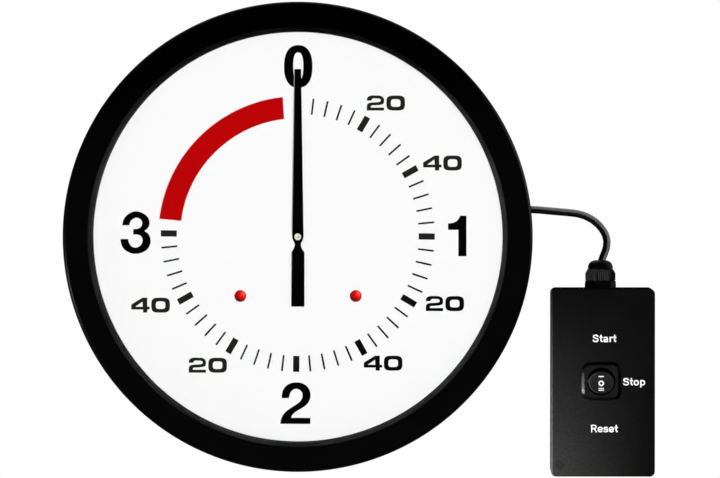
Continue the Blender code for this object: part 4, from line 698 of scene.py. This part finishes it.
# outlines of the figures about their middles: x, y, and 1 where the line is smooth or 0 at a corner
figures = {
    "two": [
        (-8.8, 3.2, 0), (-8.6, 6.2, 1), (-7.3, 9.6, 1), (-4.4, 12.2, 1), (.3, 13.3, 1), (4.9, 12.5, 1), (8.3, 9.8, 1),
        (9.7, 5.3, 1), (8.5, .8, 1), (5.6, -2.2, 1), (1.5, -4.7, 1), (-1.6, -7.1, 1), (-2.8, -9.4, 0), (9.6, -9.4, 0),
        (9.6, -13.3, 0), (-9.7, -13.3, 0), (-9.3, -10.6, 1), (-7.4, -6.8, 1), (-4.0, -3.7, 1), (.2, -1.0, 1),
        (3.1, 1.3, 1), (4.6, 4.6, 1), (3.6, 7.7, 1), (.5, 9.2, 1), (-2.4, 7.8, 1), (-3.7, 5.3, 1), (-4.2, 3.2, 0)],
    "three": [
        (-8.6, 4.7, 0), (-7.5, 8.7, 1), (-4.4, 12.1, 1), (.3, 13.6, 1), (5.1, 12.2, 1), (7.9, 9.8, 1), (9.0, 6.2, 1),
        (8.0, 3.1, 1), (5.8, 1.0, 0), (8.3, -.9, 1), (9.7, -5.3, 1), (8.4, -9.6, 1), (4.9, -12.5, 1), (0, -13.6, 1),
        (-4.7, -12.5, 1), (-8.2, -9.6, 1), (-9.4, -6.4, 1), (-9.7, -4.1, 0), (-4.7, -4.1, 0), (-4.2, -6.4, 1),
        (-2.6, -8.7, 1), (-.1, -9.6, 1), (3.1, -8.2, 1), (4.5, -5.1, 1), (3.6, -2.4, 1), (1.4, -1.3, 1),
        (-1.5, -1.3, 0), (-1.4, 2.3, 0), (.6, 2.3, 1), (3.0, 3.3, 1), (4.3, 5.9, 1), (3.1, 8.5, 1), (.4, 9.5, 1),
        (-2.3, 8.2, 1), (-3.4, 6.7, 1), (-3.9, 4.7, 0)],
    "one": [
        (1.8, 13.0, 0), (5.9, 13.0, 0), (5.9, -13.0, 0), (.7, -13.0, 0), (.7, 3.95, 0), (-5.9, 3.95, 0), (-5.9, 8.1, 0),
        (-3.5, 8.3, 1), (-.6, 9.5, 1), (1.1, 11.3, 1)],
    "smallTwo": [
        (-5.5, 1.5, 0), (-5.3, 3.3, 1), (-3.6, 4.6, 1), (.3, 4.8, 1), (3.3, 4.6, 1), (5.1, 3.3, 1), (5.5, 1.3, 1),
        (5.0, -.4, 1), (3.3, -1.1, 1), (-.2, -1.5, 1), (-2.7, -1.8, 1), (-3.0, -2.9, 0), (5.5, -2.9, 0), (5.5, -4.8, 0),
        (-5.5, -4.8, 0), (-5.5, -1.9, 1), (-4.9, -.4, 1), (-2.8, .3, 1), (.7, .5, 1), (2.8, .9, 1), (3.4, 1.6, 1),
        (2.9, 2.6, 1), (.3, 2.9, 1), (-1.9, 2.8, 1), (-2.7, 1.6, 0)],
    "smallFour": [
        (1.4, 4.8, 0), (4.4, 4.8, 0), (4.4, -1.0, 0), (5.9, -1.0, 0), (5.9, -2.8, 0), (4.4, -2.8, 0), (4.4, -4.8, 0),
        (1.7, -4.8, 0), (1.7, -2.8, 0), (-5.9, -2.8, 0), (-5.9, .4, 0)],
    "fourHole": [(1.3, 2.25, 0), (1.5, -1.0, 0), (-3.3, -1.0, 0)]}


def oval(width, tall, power, count):
    # a rounded letter form between an ellipse (2) and a rectangle (large)
    points = []
    for i in range(count):
        angle = math.tau * i / count
        c, s = math.cos(angle), math.sin(angle)
        x, y = (math.copysign(abs(v) ** (2 / power), v) for v in (c, s))
        points.append((width / 2 * x, tall / 2 * y, 1))
    return points


big = {"0": ((.2, 109.0), [oval(18.2, 27.3, 2.35, 24), oval(6.45, 17.9, 2.5, 20)]),
       "1": ((102.0, .5), [figures["one"]]),
       "2": ((-1.65, -106.7), [figures["two"]]),
       "3": ((-104.15, 2.6), [figures["three"]])}
for mark, ((x, y), loops) in big.items():
    piece = moved(flatShape(loops, inkLow, inkHigh, 5), (x, y, 0))
    finishPiece(piece, f"figure{mark}", blackInk, "clock")
zero = [oval(11.9, 9.6, 3.6, 24), oval(6.1, 4.9, 3.6, 20)]
small = [("2", 56.4, 85.6), ("4", 92.8, 47.2), ("2", 94.2, -42.8), ("4", 54.8, -81.0), ("2", -57.75, -82.4),
         ("4", -94.3, -43.9)]      # first figure of each pair, and the pair's middle
plates = []
for first, x, y in small:
    loops = [figures["smallTwo"]] if first == "2" else [figures["smallFour"], figures["fourHole"]]
    plates.append(moved(flatShape(loops, inkLow, inkHigh, 3), (x - 6.75, y, 0)))
    plates.append(moved(flatShape(zero, inkLow, inkHigh, 2), (x + 6.2, y, 0)))
finishPiece(joined(plates), "smallFigures", greyInk, "clock")
print("figures")

lamp = {"radius": 3.7, "centre": 29.75, "steps": 48}
profile = [(0, 22.4), (4.5, 22.4), (4.7, 22.6), (4.7, 23.7), (4.5, 23.9), (lamp["radius"], 23.9)]
profile += arc((0, lamp["centre"]), lamp["radius"], 0, 90, 14)
dome = turned(profile, lamp["steps"])
for side, x in (("Left", -dial["lampX"]), ("Right", dial["lampX"])):
    twin = moved(copied(dome), (x, dial["lampY"], 0))
    finishPiece(twin, f"lamp{side}", redEpoxy, "clock", [f"lamp_{side.lower()}"])
remove(dome)

hand = {"low": 34.4, "high": 35.2, "tip": 107.3, "tail": -44.65, "tailWidth": 8.44, "paintedHighlightStrip": .3}
right = [(2.1, hand["tip"], 0), (3.65, 3.65, 1), (3.7, 1.0, 1), (3.45, -.91, 1), (2.65, -2.9, 1), (1.95, -4.6, 1),
         (2.2, -6.4, 1), (3.1, -8.3, 1), (hand["tailWidth"] / 2, -9.8, 0), (hand["tailWidth"] / 2, hand["tail"], 0)]
# the outline is widened on the left by the strip that carries the painted highlight
outline = right + [(-x - (hand["paintedHighlightStrip"] if y > 3 else 0), y, kind) for x, y, kind in reversed(right)]
piece = flatShape([outline], hand["low"], hand["high"])
softEdges(piece, .16)
finishPiece(piece, "timerHand", handEnamel, "hand_train", ["hand"], smooth=30)

hub = {"steps": 48, "dimple": .55, "slot": .55, "slotTurn": 125}
profile = [(0, 31.0), (.9, 31.0), (.9, 35.2), (1.9, 35.2), (2.15, 35.45), (2.15, 35.9)]
profile += arc((0, 33.32), 3.16, 54, 90, 8)[1:]
piece = turned(profile, hub["steps"])
combine(piece, rod(hub["dimple"], 36.0, 38, vertices=24))
combine(piece, moved(block((2.3, hub["slot"], 1.2), (.75, 0, 36.65)), (0, 0, 0), turn=math.radians(hub["slotTurn"])))
softEdges(piece, .06)
finishPiece(piece, "hubScrew", paleBrass, "hand_train", ["hub_screw"])
print("lamps, hand and its screw")

gland = {"x": 193.85, "z": 21.0, "turn": -.168, "flange": 17.7, "nut": 17.1, "ribs": 6, "ribDepth": .65}


def hexagon(flats, turn, ribs=0):
    # the outline of a hexagon seen along the gland, with upright ribs on the middle of each flat
    reach = flats / math.sqrt(3)
    corners = [(reach * math.cos(turn + math.pi / 3 * i), reach * math.sin(turn + math.pi / 3 * i)) for i in range(6)]
    points = []
    for i, (x, z) in enumerate(corners):
        x2, z2 = corners[(i + 1) % 6]
        points.append((x, z))
        middle = turn + math.pi / 3 * (i + .5)
        for j in range(ribs * 2 + 1 if ribs else 0):
            share = .14 + .72 * j / (ribs * 2)
            sink = gland["ribDepth"] if j % 2 else 0
            points.append((x + (x2 - x) * share - sink * math.cos(middle),
                           z + (z2 - z) * share - sink * math.sin(middle)))
    return points


def hexBar(flats, low, high, ribs=0):
    outline = [(gland["x"] + x, low, gland["z"] + z) for x, z in hexagon(flats, gland["turn"], ribs)]
    return prism(outline, (0, high - low, 0))


def alongGland(profile, steps):
    return turned(profile, steps, axis="y", centre=(gland["x"], 0, gland["z"]))


flange = hexBar(gland["flange"], -33.2, -28.3)
corners = [(0, -34), (10.3, -34), (10.2, -30.6), (9.9, -28.7), (9.5, -28.4), (9.5, -28.0), (0, -28.0)]
combine(flange, alongGland(corners, 64), "INTERSECT")
profile = [(0, -43.0), (5.6, -43.0), (6.2, -42.4)]
turn = -42.0
while turn < -32.9:      # the thread inside the box
    profile += [(6.2, turn), (5.75, turn + .4), (6.2, turn + .8)]
    turn += 1.2
profile += [(7.7, -32.6), (7.9, -32.4), (7.7, -32.0), (6.25, -31.9), (6.25, -23.7), (0, -23.7)]
combine(flange, alongGland(profile, 64), "UNION")
finishPiece(flange, "glandBody", blackNylon, "control_box", ["gland_body"])

nut = hexBar(gland["nut"], -28.2, -20.6, gland["ribs"])
corners = [(0, -29), (9.6, -29), (9.9, -27.8), (9.9, -23.8), (8.35, -21.1), (8.1, -20.9), (0, -20.9)]
combine(nut, alongGland(corners, 72), "INTERSECT")
profile = [(0, -23.5), (7.7, -23.5), (7.7, -20.7), (8.0, -20.4)] + arc((3.2, -20.0), 4.85, 0, 84, 10)
profile += [(3.6, -15.12), (3.4, -15.5), (3.2, -17.0), (3.2, -19.6), (0, -19.6)]
combine(nut, alongGland(profile, 72), "UNION")
finishPiece(nut, "glandNut", blackNylon, "control_box", ["gland_nut"], smooth=25)
print("gland")

box = {"x": 195.1, "y": -93.05, "width": 66.3, "tall": 120, "corner": 3.4, "edge": 1.1, "wall": 2.4,
       "screws": [(dx, dy) for dx in (-27.85, 27.85) for dy in (-53, 53)]}
switch = {"x": 193.9, "y": -92.0, "ringX": 194.2, "ringY": -91.9, "side": 25.0, "tall": 24.7, "squareness": 5.2,
          "flank": 2.1, "rise": 1.75, "bow": .6, "well": 8.9, "barrel": 9.6}


def upright(a, b):
    return abs(a.z - b.z) > 1 and abs(a.x - b.x) < .01 and abs(a.y - b.y) < .01


def front(z):
    return lambda a, b: abs(a.z - z) < .01 and abs(b.z - z) < .01


shell = block((box["width"], box["tall"], 36.7), (box["x"], box["y"], 22.65))
bevelEdges(shell, box["corner"], 10, upright)
bevelEdges(shell, box["edge"], 5, front(41.0))
insetFace(shell, 4.3, box["wall"], 0)
setMode("EDIT")
bpy.ops.mesh.extrude_region_move(TRANSFORM_OT_translate={"value": (0, 0, 34.3 * mm)})
closeUp()
combine(shell, rod(9.7, 30, 50, (switch["x"], switch["y"]), vertices=64))
combine(shell, rod(6.4, -40, -20, (gland["x"], gland["z"]), axis="y"))
finishPiece(shell, "boxShell", charcoalAbs, "control_box", ["box_shell"])

lid = block((box["width"], box["tall"], 3.0), (box["x"], box["y"], 2.5))
bevelEdges(lid, box["corner"], 10, upright)
bevelEdges(lid, .6, 3, front(1.0))
for dx, dy in box["screws"]:
    cone = turned([(0, .5), (3.2, .5), (3.2, 1.0), (1.7, 2.7), (1.7, 4.5), (0, 4.5)], 32)
    combine(lid, moved(cone, (box["x"] + dx, box["y"] + dy, 0)))
finishPiece(lid, "boxLid", charcoalAbs, "control_box", ["box_lid"])

lidScrew = {"steps": 40, "crossLong": 3.2, "crossWide": .75, "crossDeep": 1.8, "crossAt": 1.2}
profile = [(0, 1.05), (2.6, 1.05), (2.8, 1.2), (1.45, 2.6), (1.45, 11.2), (.8, 12.0), (0, 12.0)]
screw = turned(profile, lidScrew["steps"])
cutCross(screw, lidScrew)
for number, (dx, dy) in enumerate(box["screws"], 1):
    twin = moved(copied(screw), (box["x"] + dx, box["y"] + dy, 0), turn=.4 * number)
    finishPiece(twin, f"lidScrew{number}", zincSteel, "control_box", [f"lid_screw_{number}"])
remove(screw)

# The legends are in a bold upright sans, each letter drawn in strokes of one width.
# A letter has its advance and its strokes, in hundredths of a capital's height; 0 marks a sharp point.
legend = {"capital": 4.75, "wide": 1.27, "stroke": .84, "low": 40.94, "high": 41.06, "layer": .015}
letters = {
    "S": (70, [[(58, 69), (51, 85), (33, 91), (15, 85), (9, 72), (16, 60), (34, 52), (52, 43), (58, 29), (51, 14),
                (33, 8), (14, 14), (6, 31)]]),
    "R": (76, [[(17, 0), (17, 100)],
               [(17, 91, 0), (43, 91), (59, 84), (63, 70), (58, 57), (42, 49), (17, 49, 0)],
               [(40, 50), (53, 31), (68, -1)]]),
    "t": (40, [[(19, 99), (19, 60), (19, 24), (24, 11), (36, 8)], [(1, 64), (37, 64)]]),
    "a": (61, [[(9, 51), (15, 61), (28, 65), (42, 60), (46, 47), (46, 16), (50, -1)],
               [(46, 37), (27, 33), (13, 27), (10, 18), (15, 9), (26, 7), (39, 12), (46, 26)]]),
    "r": (43, [[(15, 0), (15, 73)], [(15, 40), (20, 57), (30, 64), (43, 62)]]),
    "o": (64, [[(10, 36), (16, 57), (31, 65), (46, 57), (52, 36), (46, 15), (31, 7), (16, 15), "closed"]]),
    "p": (66, [[(15, -27), (15, 73)],
               [(15, 36), (20, 57), (34, 65), (48, 57), (54, 36), (48, 15), (34, 7), (20, 15), "closed"]]),
    "e": (62, [[(12, 34), (52, 34)],
               [(52, 30), (52, 44), (46, 58), (31, 65), (15, 57), (10, 36), (15, 15), (31, 7), (44, 10), (52, 20)]]),
    "s": (57, [[(48, 51), (42, 61), (28, 65), (14, 61), (10, 52), (15, 43), (30, 37), (45, 31), (49, 21), (43, 11),
                (28, 7), (13, 11), (6, 22)]])}
words = [("Start", 196.05, -64.65), ("Stop", 215.0, -92.3), ("Reset", 195.8, -122.2)]

nib = bpy.data.curves.new("nib", "CURVE")
nib.dimensions = "2D"
nib.fill_mode = "NONE"
corners = nib.splines.new("POLY")
corners.points.add(3)
corners.use_cyclic_u = True
thickness = legend["high"] - legend["low"]
for point, (u, v) in zip(corners.points, ((-1, -1), (1, -1), (1, 1), (-1, 1))):
    point.co = (u * legend["stroke"] / 2 * mm, v * thickness / 2 * mm, 0, 1)
nibShape = bpy.data.objects.new("nib", nib)
bpy.context.collection.objects.link(nibShape)
unit = legend["capital"] / 100
wide = unit * legend["wide"]
for word, x, y in words:
    strokes = bpy.data.curves.new(word, "CURVE")
    strokes.dimensions = "3D"
    strokes.twist_mode = "Z_UP"
    strokes.bevel_mode = "OBJECT"
    strokes.bevel_object = nibShape
    strokes.use_fill_caps = True
    along = x - wide * sum(letters[letter][0] for letter in word) / 2
    for letter in word:
        advance, lines = letters[letter]
        for layer, points in enumerate(lines):
            closed = points[-1] == "closed"
            if closed:
                points = points[:-1]
            spline = strokes.splines.new("BEZIER")
            spline.bezier_points.add(len(points) - 1)
            spline.use_cyclic_u = closed
            spline.resolution_u = 5
            for point, at in zip(spline.bezier_points, points):
                rise = layer * legend["layer"]
                point.co = ((along + at[0] * wide) * mm, (y + (at[1] - 50) * unit) * mm, rise * mm)
                sharp = len(at) == 3 or len(points) == 2
                point.handle_left_type = point.handle_right_type = "VECTOR" if sharp else "AUTO"
        along += advance * wide
    piece = asMesh(word, strokes)
    closeUp()
    moved(piece, (0, 0, (legend["low"] + legend["high"]) / 2))
    finishPiece(piece, f"legend{word}", whiteInk, "control_box")
remove(nibShape)
print("control box and legends")

outline = []
for x, y, kind in oval(switch["side"], switch["tall"], switch["squareness"], 88):
    bow = switch["bow"] * (1 - (y / (switch["tall"] / 2)) ** 2) if x < 0 else 0
    outline.append((switch["ringX"] + x - bow, switch["ringY"] + y, 41.3))
ring = prism(outline, (0, 0, 1.25))
insetFace(ring, 42.55, switch["flank"], switch["rise"])
softEdges(ring, .35, 3, angle=25)
middle = (switch["x"], switch["y"])
combine(ring, rod(switch["barrel"], 23.5, 42.5, middle, vertices=64), "UNION")
combine(ring, rod(switch["well"], 25.5, 50, middle, vertices=72))
softEdges(ring, .25, angle=60)
finishPiece(ring, "switchFrame", switchNylon, "control_box", ["switch_housing"])

paddle = {"radius": 8.0, "squash": .87, "drop": .7, "low": 39.8, "high": 46.8, "dishLow": 45.8, "dish": 24.3}
dish = paddle["dish"]
piece = rod(paddle["radius"], paddle["low"], paddle["high"], vertices=72)
piece.scale = (1, paddle["squash"], 1)
piece.location = (0, -paddle["drop"] * mm, 0)
settle(scale=True)
combine(piece, rod(dish, -12, 12, (0, paddle["dishLow"] + dish), axis="x", vertices=160))
softEdges(piece, .5, 4)
axle = rod(1.1, -8.4, 8.4, (0, 38.5), axis="x", vertices=24)
for arm in [block((1.6, 3.4, 3.4), (x, 0, 39.2)) for x in (-5.2, 5.2)] + [axle]:
    combine(piece, arm, "UNION")
moved(piece, (*middle, 0))
finishPiece(piece, "rockerPaddle", paddleNylon, "rocker_key", ["rocker"])

marking = {"x": 193.8, "bar": 3.35, "upperWide": .75, "lowerWide": .62, "ring": 3.6, "hole": 1.8, "thick": .16}
ink = marking["thick"] / 2
marks = []
for kind, dy in (("bar", 3.2), ("ring", -1.15), ("bar", -4.4), ("bar", -5.55)):
    if kind == "ring":
        circles = [oval(marking["ring"], marking["ring"], 2, 20), oval(marking["hole"], marking["hole"], 2, 16)]
        mark = flatShape(circles, -ink, ink, 3)
    else:
        wide = marking["upperWide"] if dy > 0 else marking["lowerWide"]
        mark = block((marking["bar"], wide, marking["thick"]))
    moved(mark, (0, 0, 0), tilt=math.asin(dy / dish))
    onDish = paddle["dishLow"] + dish - math.sqrt(dish ** 2 - dy ** 2)
    marks.append(moved(mark, (marking["x"], switch["y"] + dy, onDish)))
finishPiece(joined(marks), "rockerMarks", whiteInk, "rocker_key")
print("switch")

paper = {"radius": 3.2, "height": -.55, "nearWhite": .3, "farWhite": 1.8}      # m
bpy.ops.mesh.primitive_circle_add(
    vertices=96, radius=paper["radius"], fill_type="NGON", location=(0, 0, paper["height"]))
floor = bpy.context.object
floor.name = "studioFloor"
palePaper, inputs, place, *_ = startMaterial(
    "palePaper", "#a8a8a8", .8, grain=(300, 2), bump=(.05, .1), specular=.1)
rays = addNode(palePaper, "LightPath")
seen = rays.outputs["Is Camera Ray"]
glow = addNode(palePaper, "Emission")
out = addNode(palePaper, "VectorMath", length, {0: place})
whiter = ease | {"From Min": paper["nearWhite"], "From Max": paper["farWhite"], "To Min": .72}
white = addNode(palePaper, "MapRange", whiter, {0: out})
wire(addNode(palePaper, "Mix", rgba | {6: "#606060", 7: "#f4f4f4"}, {0: seen}), inputs["Base Color"])
share = addNode(palePaper, "Math", times, {0: seen, 1: white})
shader = palePaper.node_tree.nodes["Principled BSDF"]
sheet = addNode(palePaper, "MixShader", links={0: share, 1: shader, 2: glow})
# from below the paper is clear, so that the underside of the part can be seen
side = addNode(palePaper, "NewGeometry")
below = addNode(palePaper, "Math", times, {0: seen, 1: side.outputs["Backfacing"]})
clear = addNode(palePaper, "BsdfTransparent")
oneWay = addNode(palePaper, "MixShader", links={0: below, 1: sheet, 2: clear})
wire(oneWay, palePaper.node_tree.nodes["Material Output"].inputs["Surface"])
floor.data.materials.append(palePaper)

world = bpy.data.worlds.new("studio")
bpy.context.scene.world = world
world.use_nodes = True
surface = world.node_tree.nodes["Background"]
surface.inputs["Color"].default_value = (1, 1, 1, 1)
rays = addNode(world, "LightPath")
parts = addNode(world, "SeparateXYZ", links={0: addNode(world, "TexCoord").outputs["Generated"]})
# white behind and beside the object, as a paper sweep, and a dark room behind the camera
sweep = addNode(
    world, "MapRange", ease | {"From Min": .1, "From Max": .9, "To Min": .03, "To Max": .13}, {0: parts.outputs["Y"]})
most = {"operation": "MAXIMUM"}
seen = addNode(world, "Math", most, {0: rays.outputs["Is Camera Ray"], 1: rays.outputs["Is Transmission Ray"]})
shine = addNode(world, "Math", times, {0: rays.outputs["Is Glossy Ray"], 1: sweep})
either = addNode(world, "Math", most, {0: seen, 1: shine})
diffuse = addNode(world, "Math", times | {1: .08}, {0: rays.outputs["Is Diffuse Ray"]})
wire(addNode(world, "Math", most, {0: either, 1: diffuse}), surface.inputs["Strength"])

lamps = {
    # name: place, aimed at, width, height, watts, lights the surfaces, shows in the shine
    "keyAbove": ((-1.1, .25, 1.6), (.02, 0, 0), .6, .6, 6, False, True),
    "stripAbove": ((.2, .55, 1.75), (.1, 0, 0), 2.2, .5, 18, False, True),
    "sideLeft": ((-1.7, -.45, -.6), (.19, 0, -.09), .6, .6, 17, False, True),
    "upperRight": ((1.75, .3, .55), (.19, 0, 0), 1.0, 1.4, 11, False, True),
    "frontFill": ((.1, -2.9, .1), (.04, 0, 0), .5, .4, 94, True, False),     # polarised, so it leaves no shine
    "rearFill": ((.9, 2.3, 1.1), (.04, 0, 0), 1.4, 1.2, 80, True, False),
    "rearLow": ((-1.4, 2.2, .2), (.04, 0, 0), 1.2, 1.2, 30, True, False),
    "rearShine": ((.2, 2.3, 1.4), (.04, 0, 0), 2.0, 1.0, 10, False, True)}
for name, (where, target, width, tall, watts, lighting, shining) in lamps.items():
    deselectAll()
    bpy.ops.object.light_add(type="AREA", location=where)
    light = bpy.context.object
    light.name = name
    light.data.shape = "RECTANGLE"
    light.data.size = width
    light.data.size_y = tall
    light.data.energy = watts
    dx, dy, dz = (t - w for t, w in zip(target, where))
    flat = math.hypot(dx, dy)
    light.rotation_euler = (math.atan2(flat, -dz), 0, math.atan2(-dx, dy))
    light.visible_diffuse = lighting
    light.visible_glossy = shining
bpy.context.scene.view_settings.view_transform = "Standard"
print("floor and light")
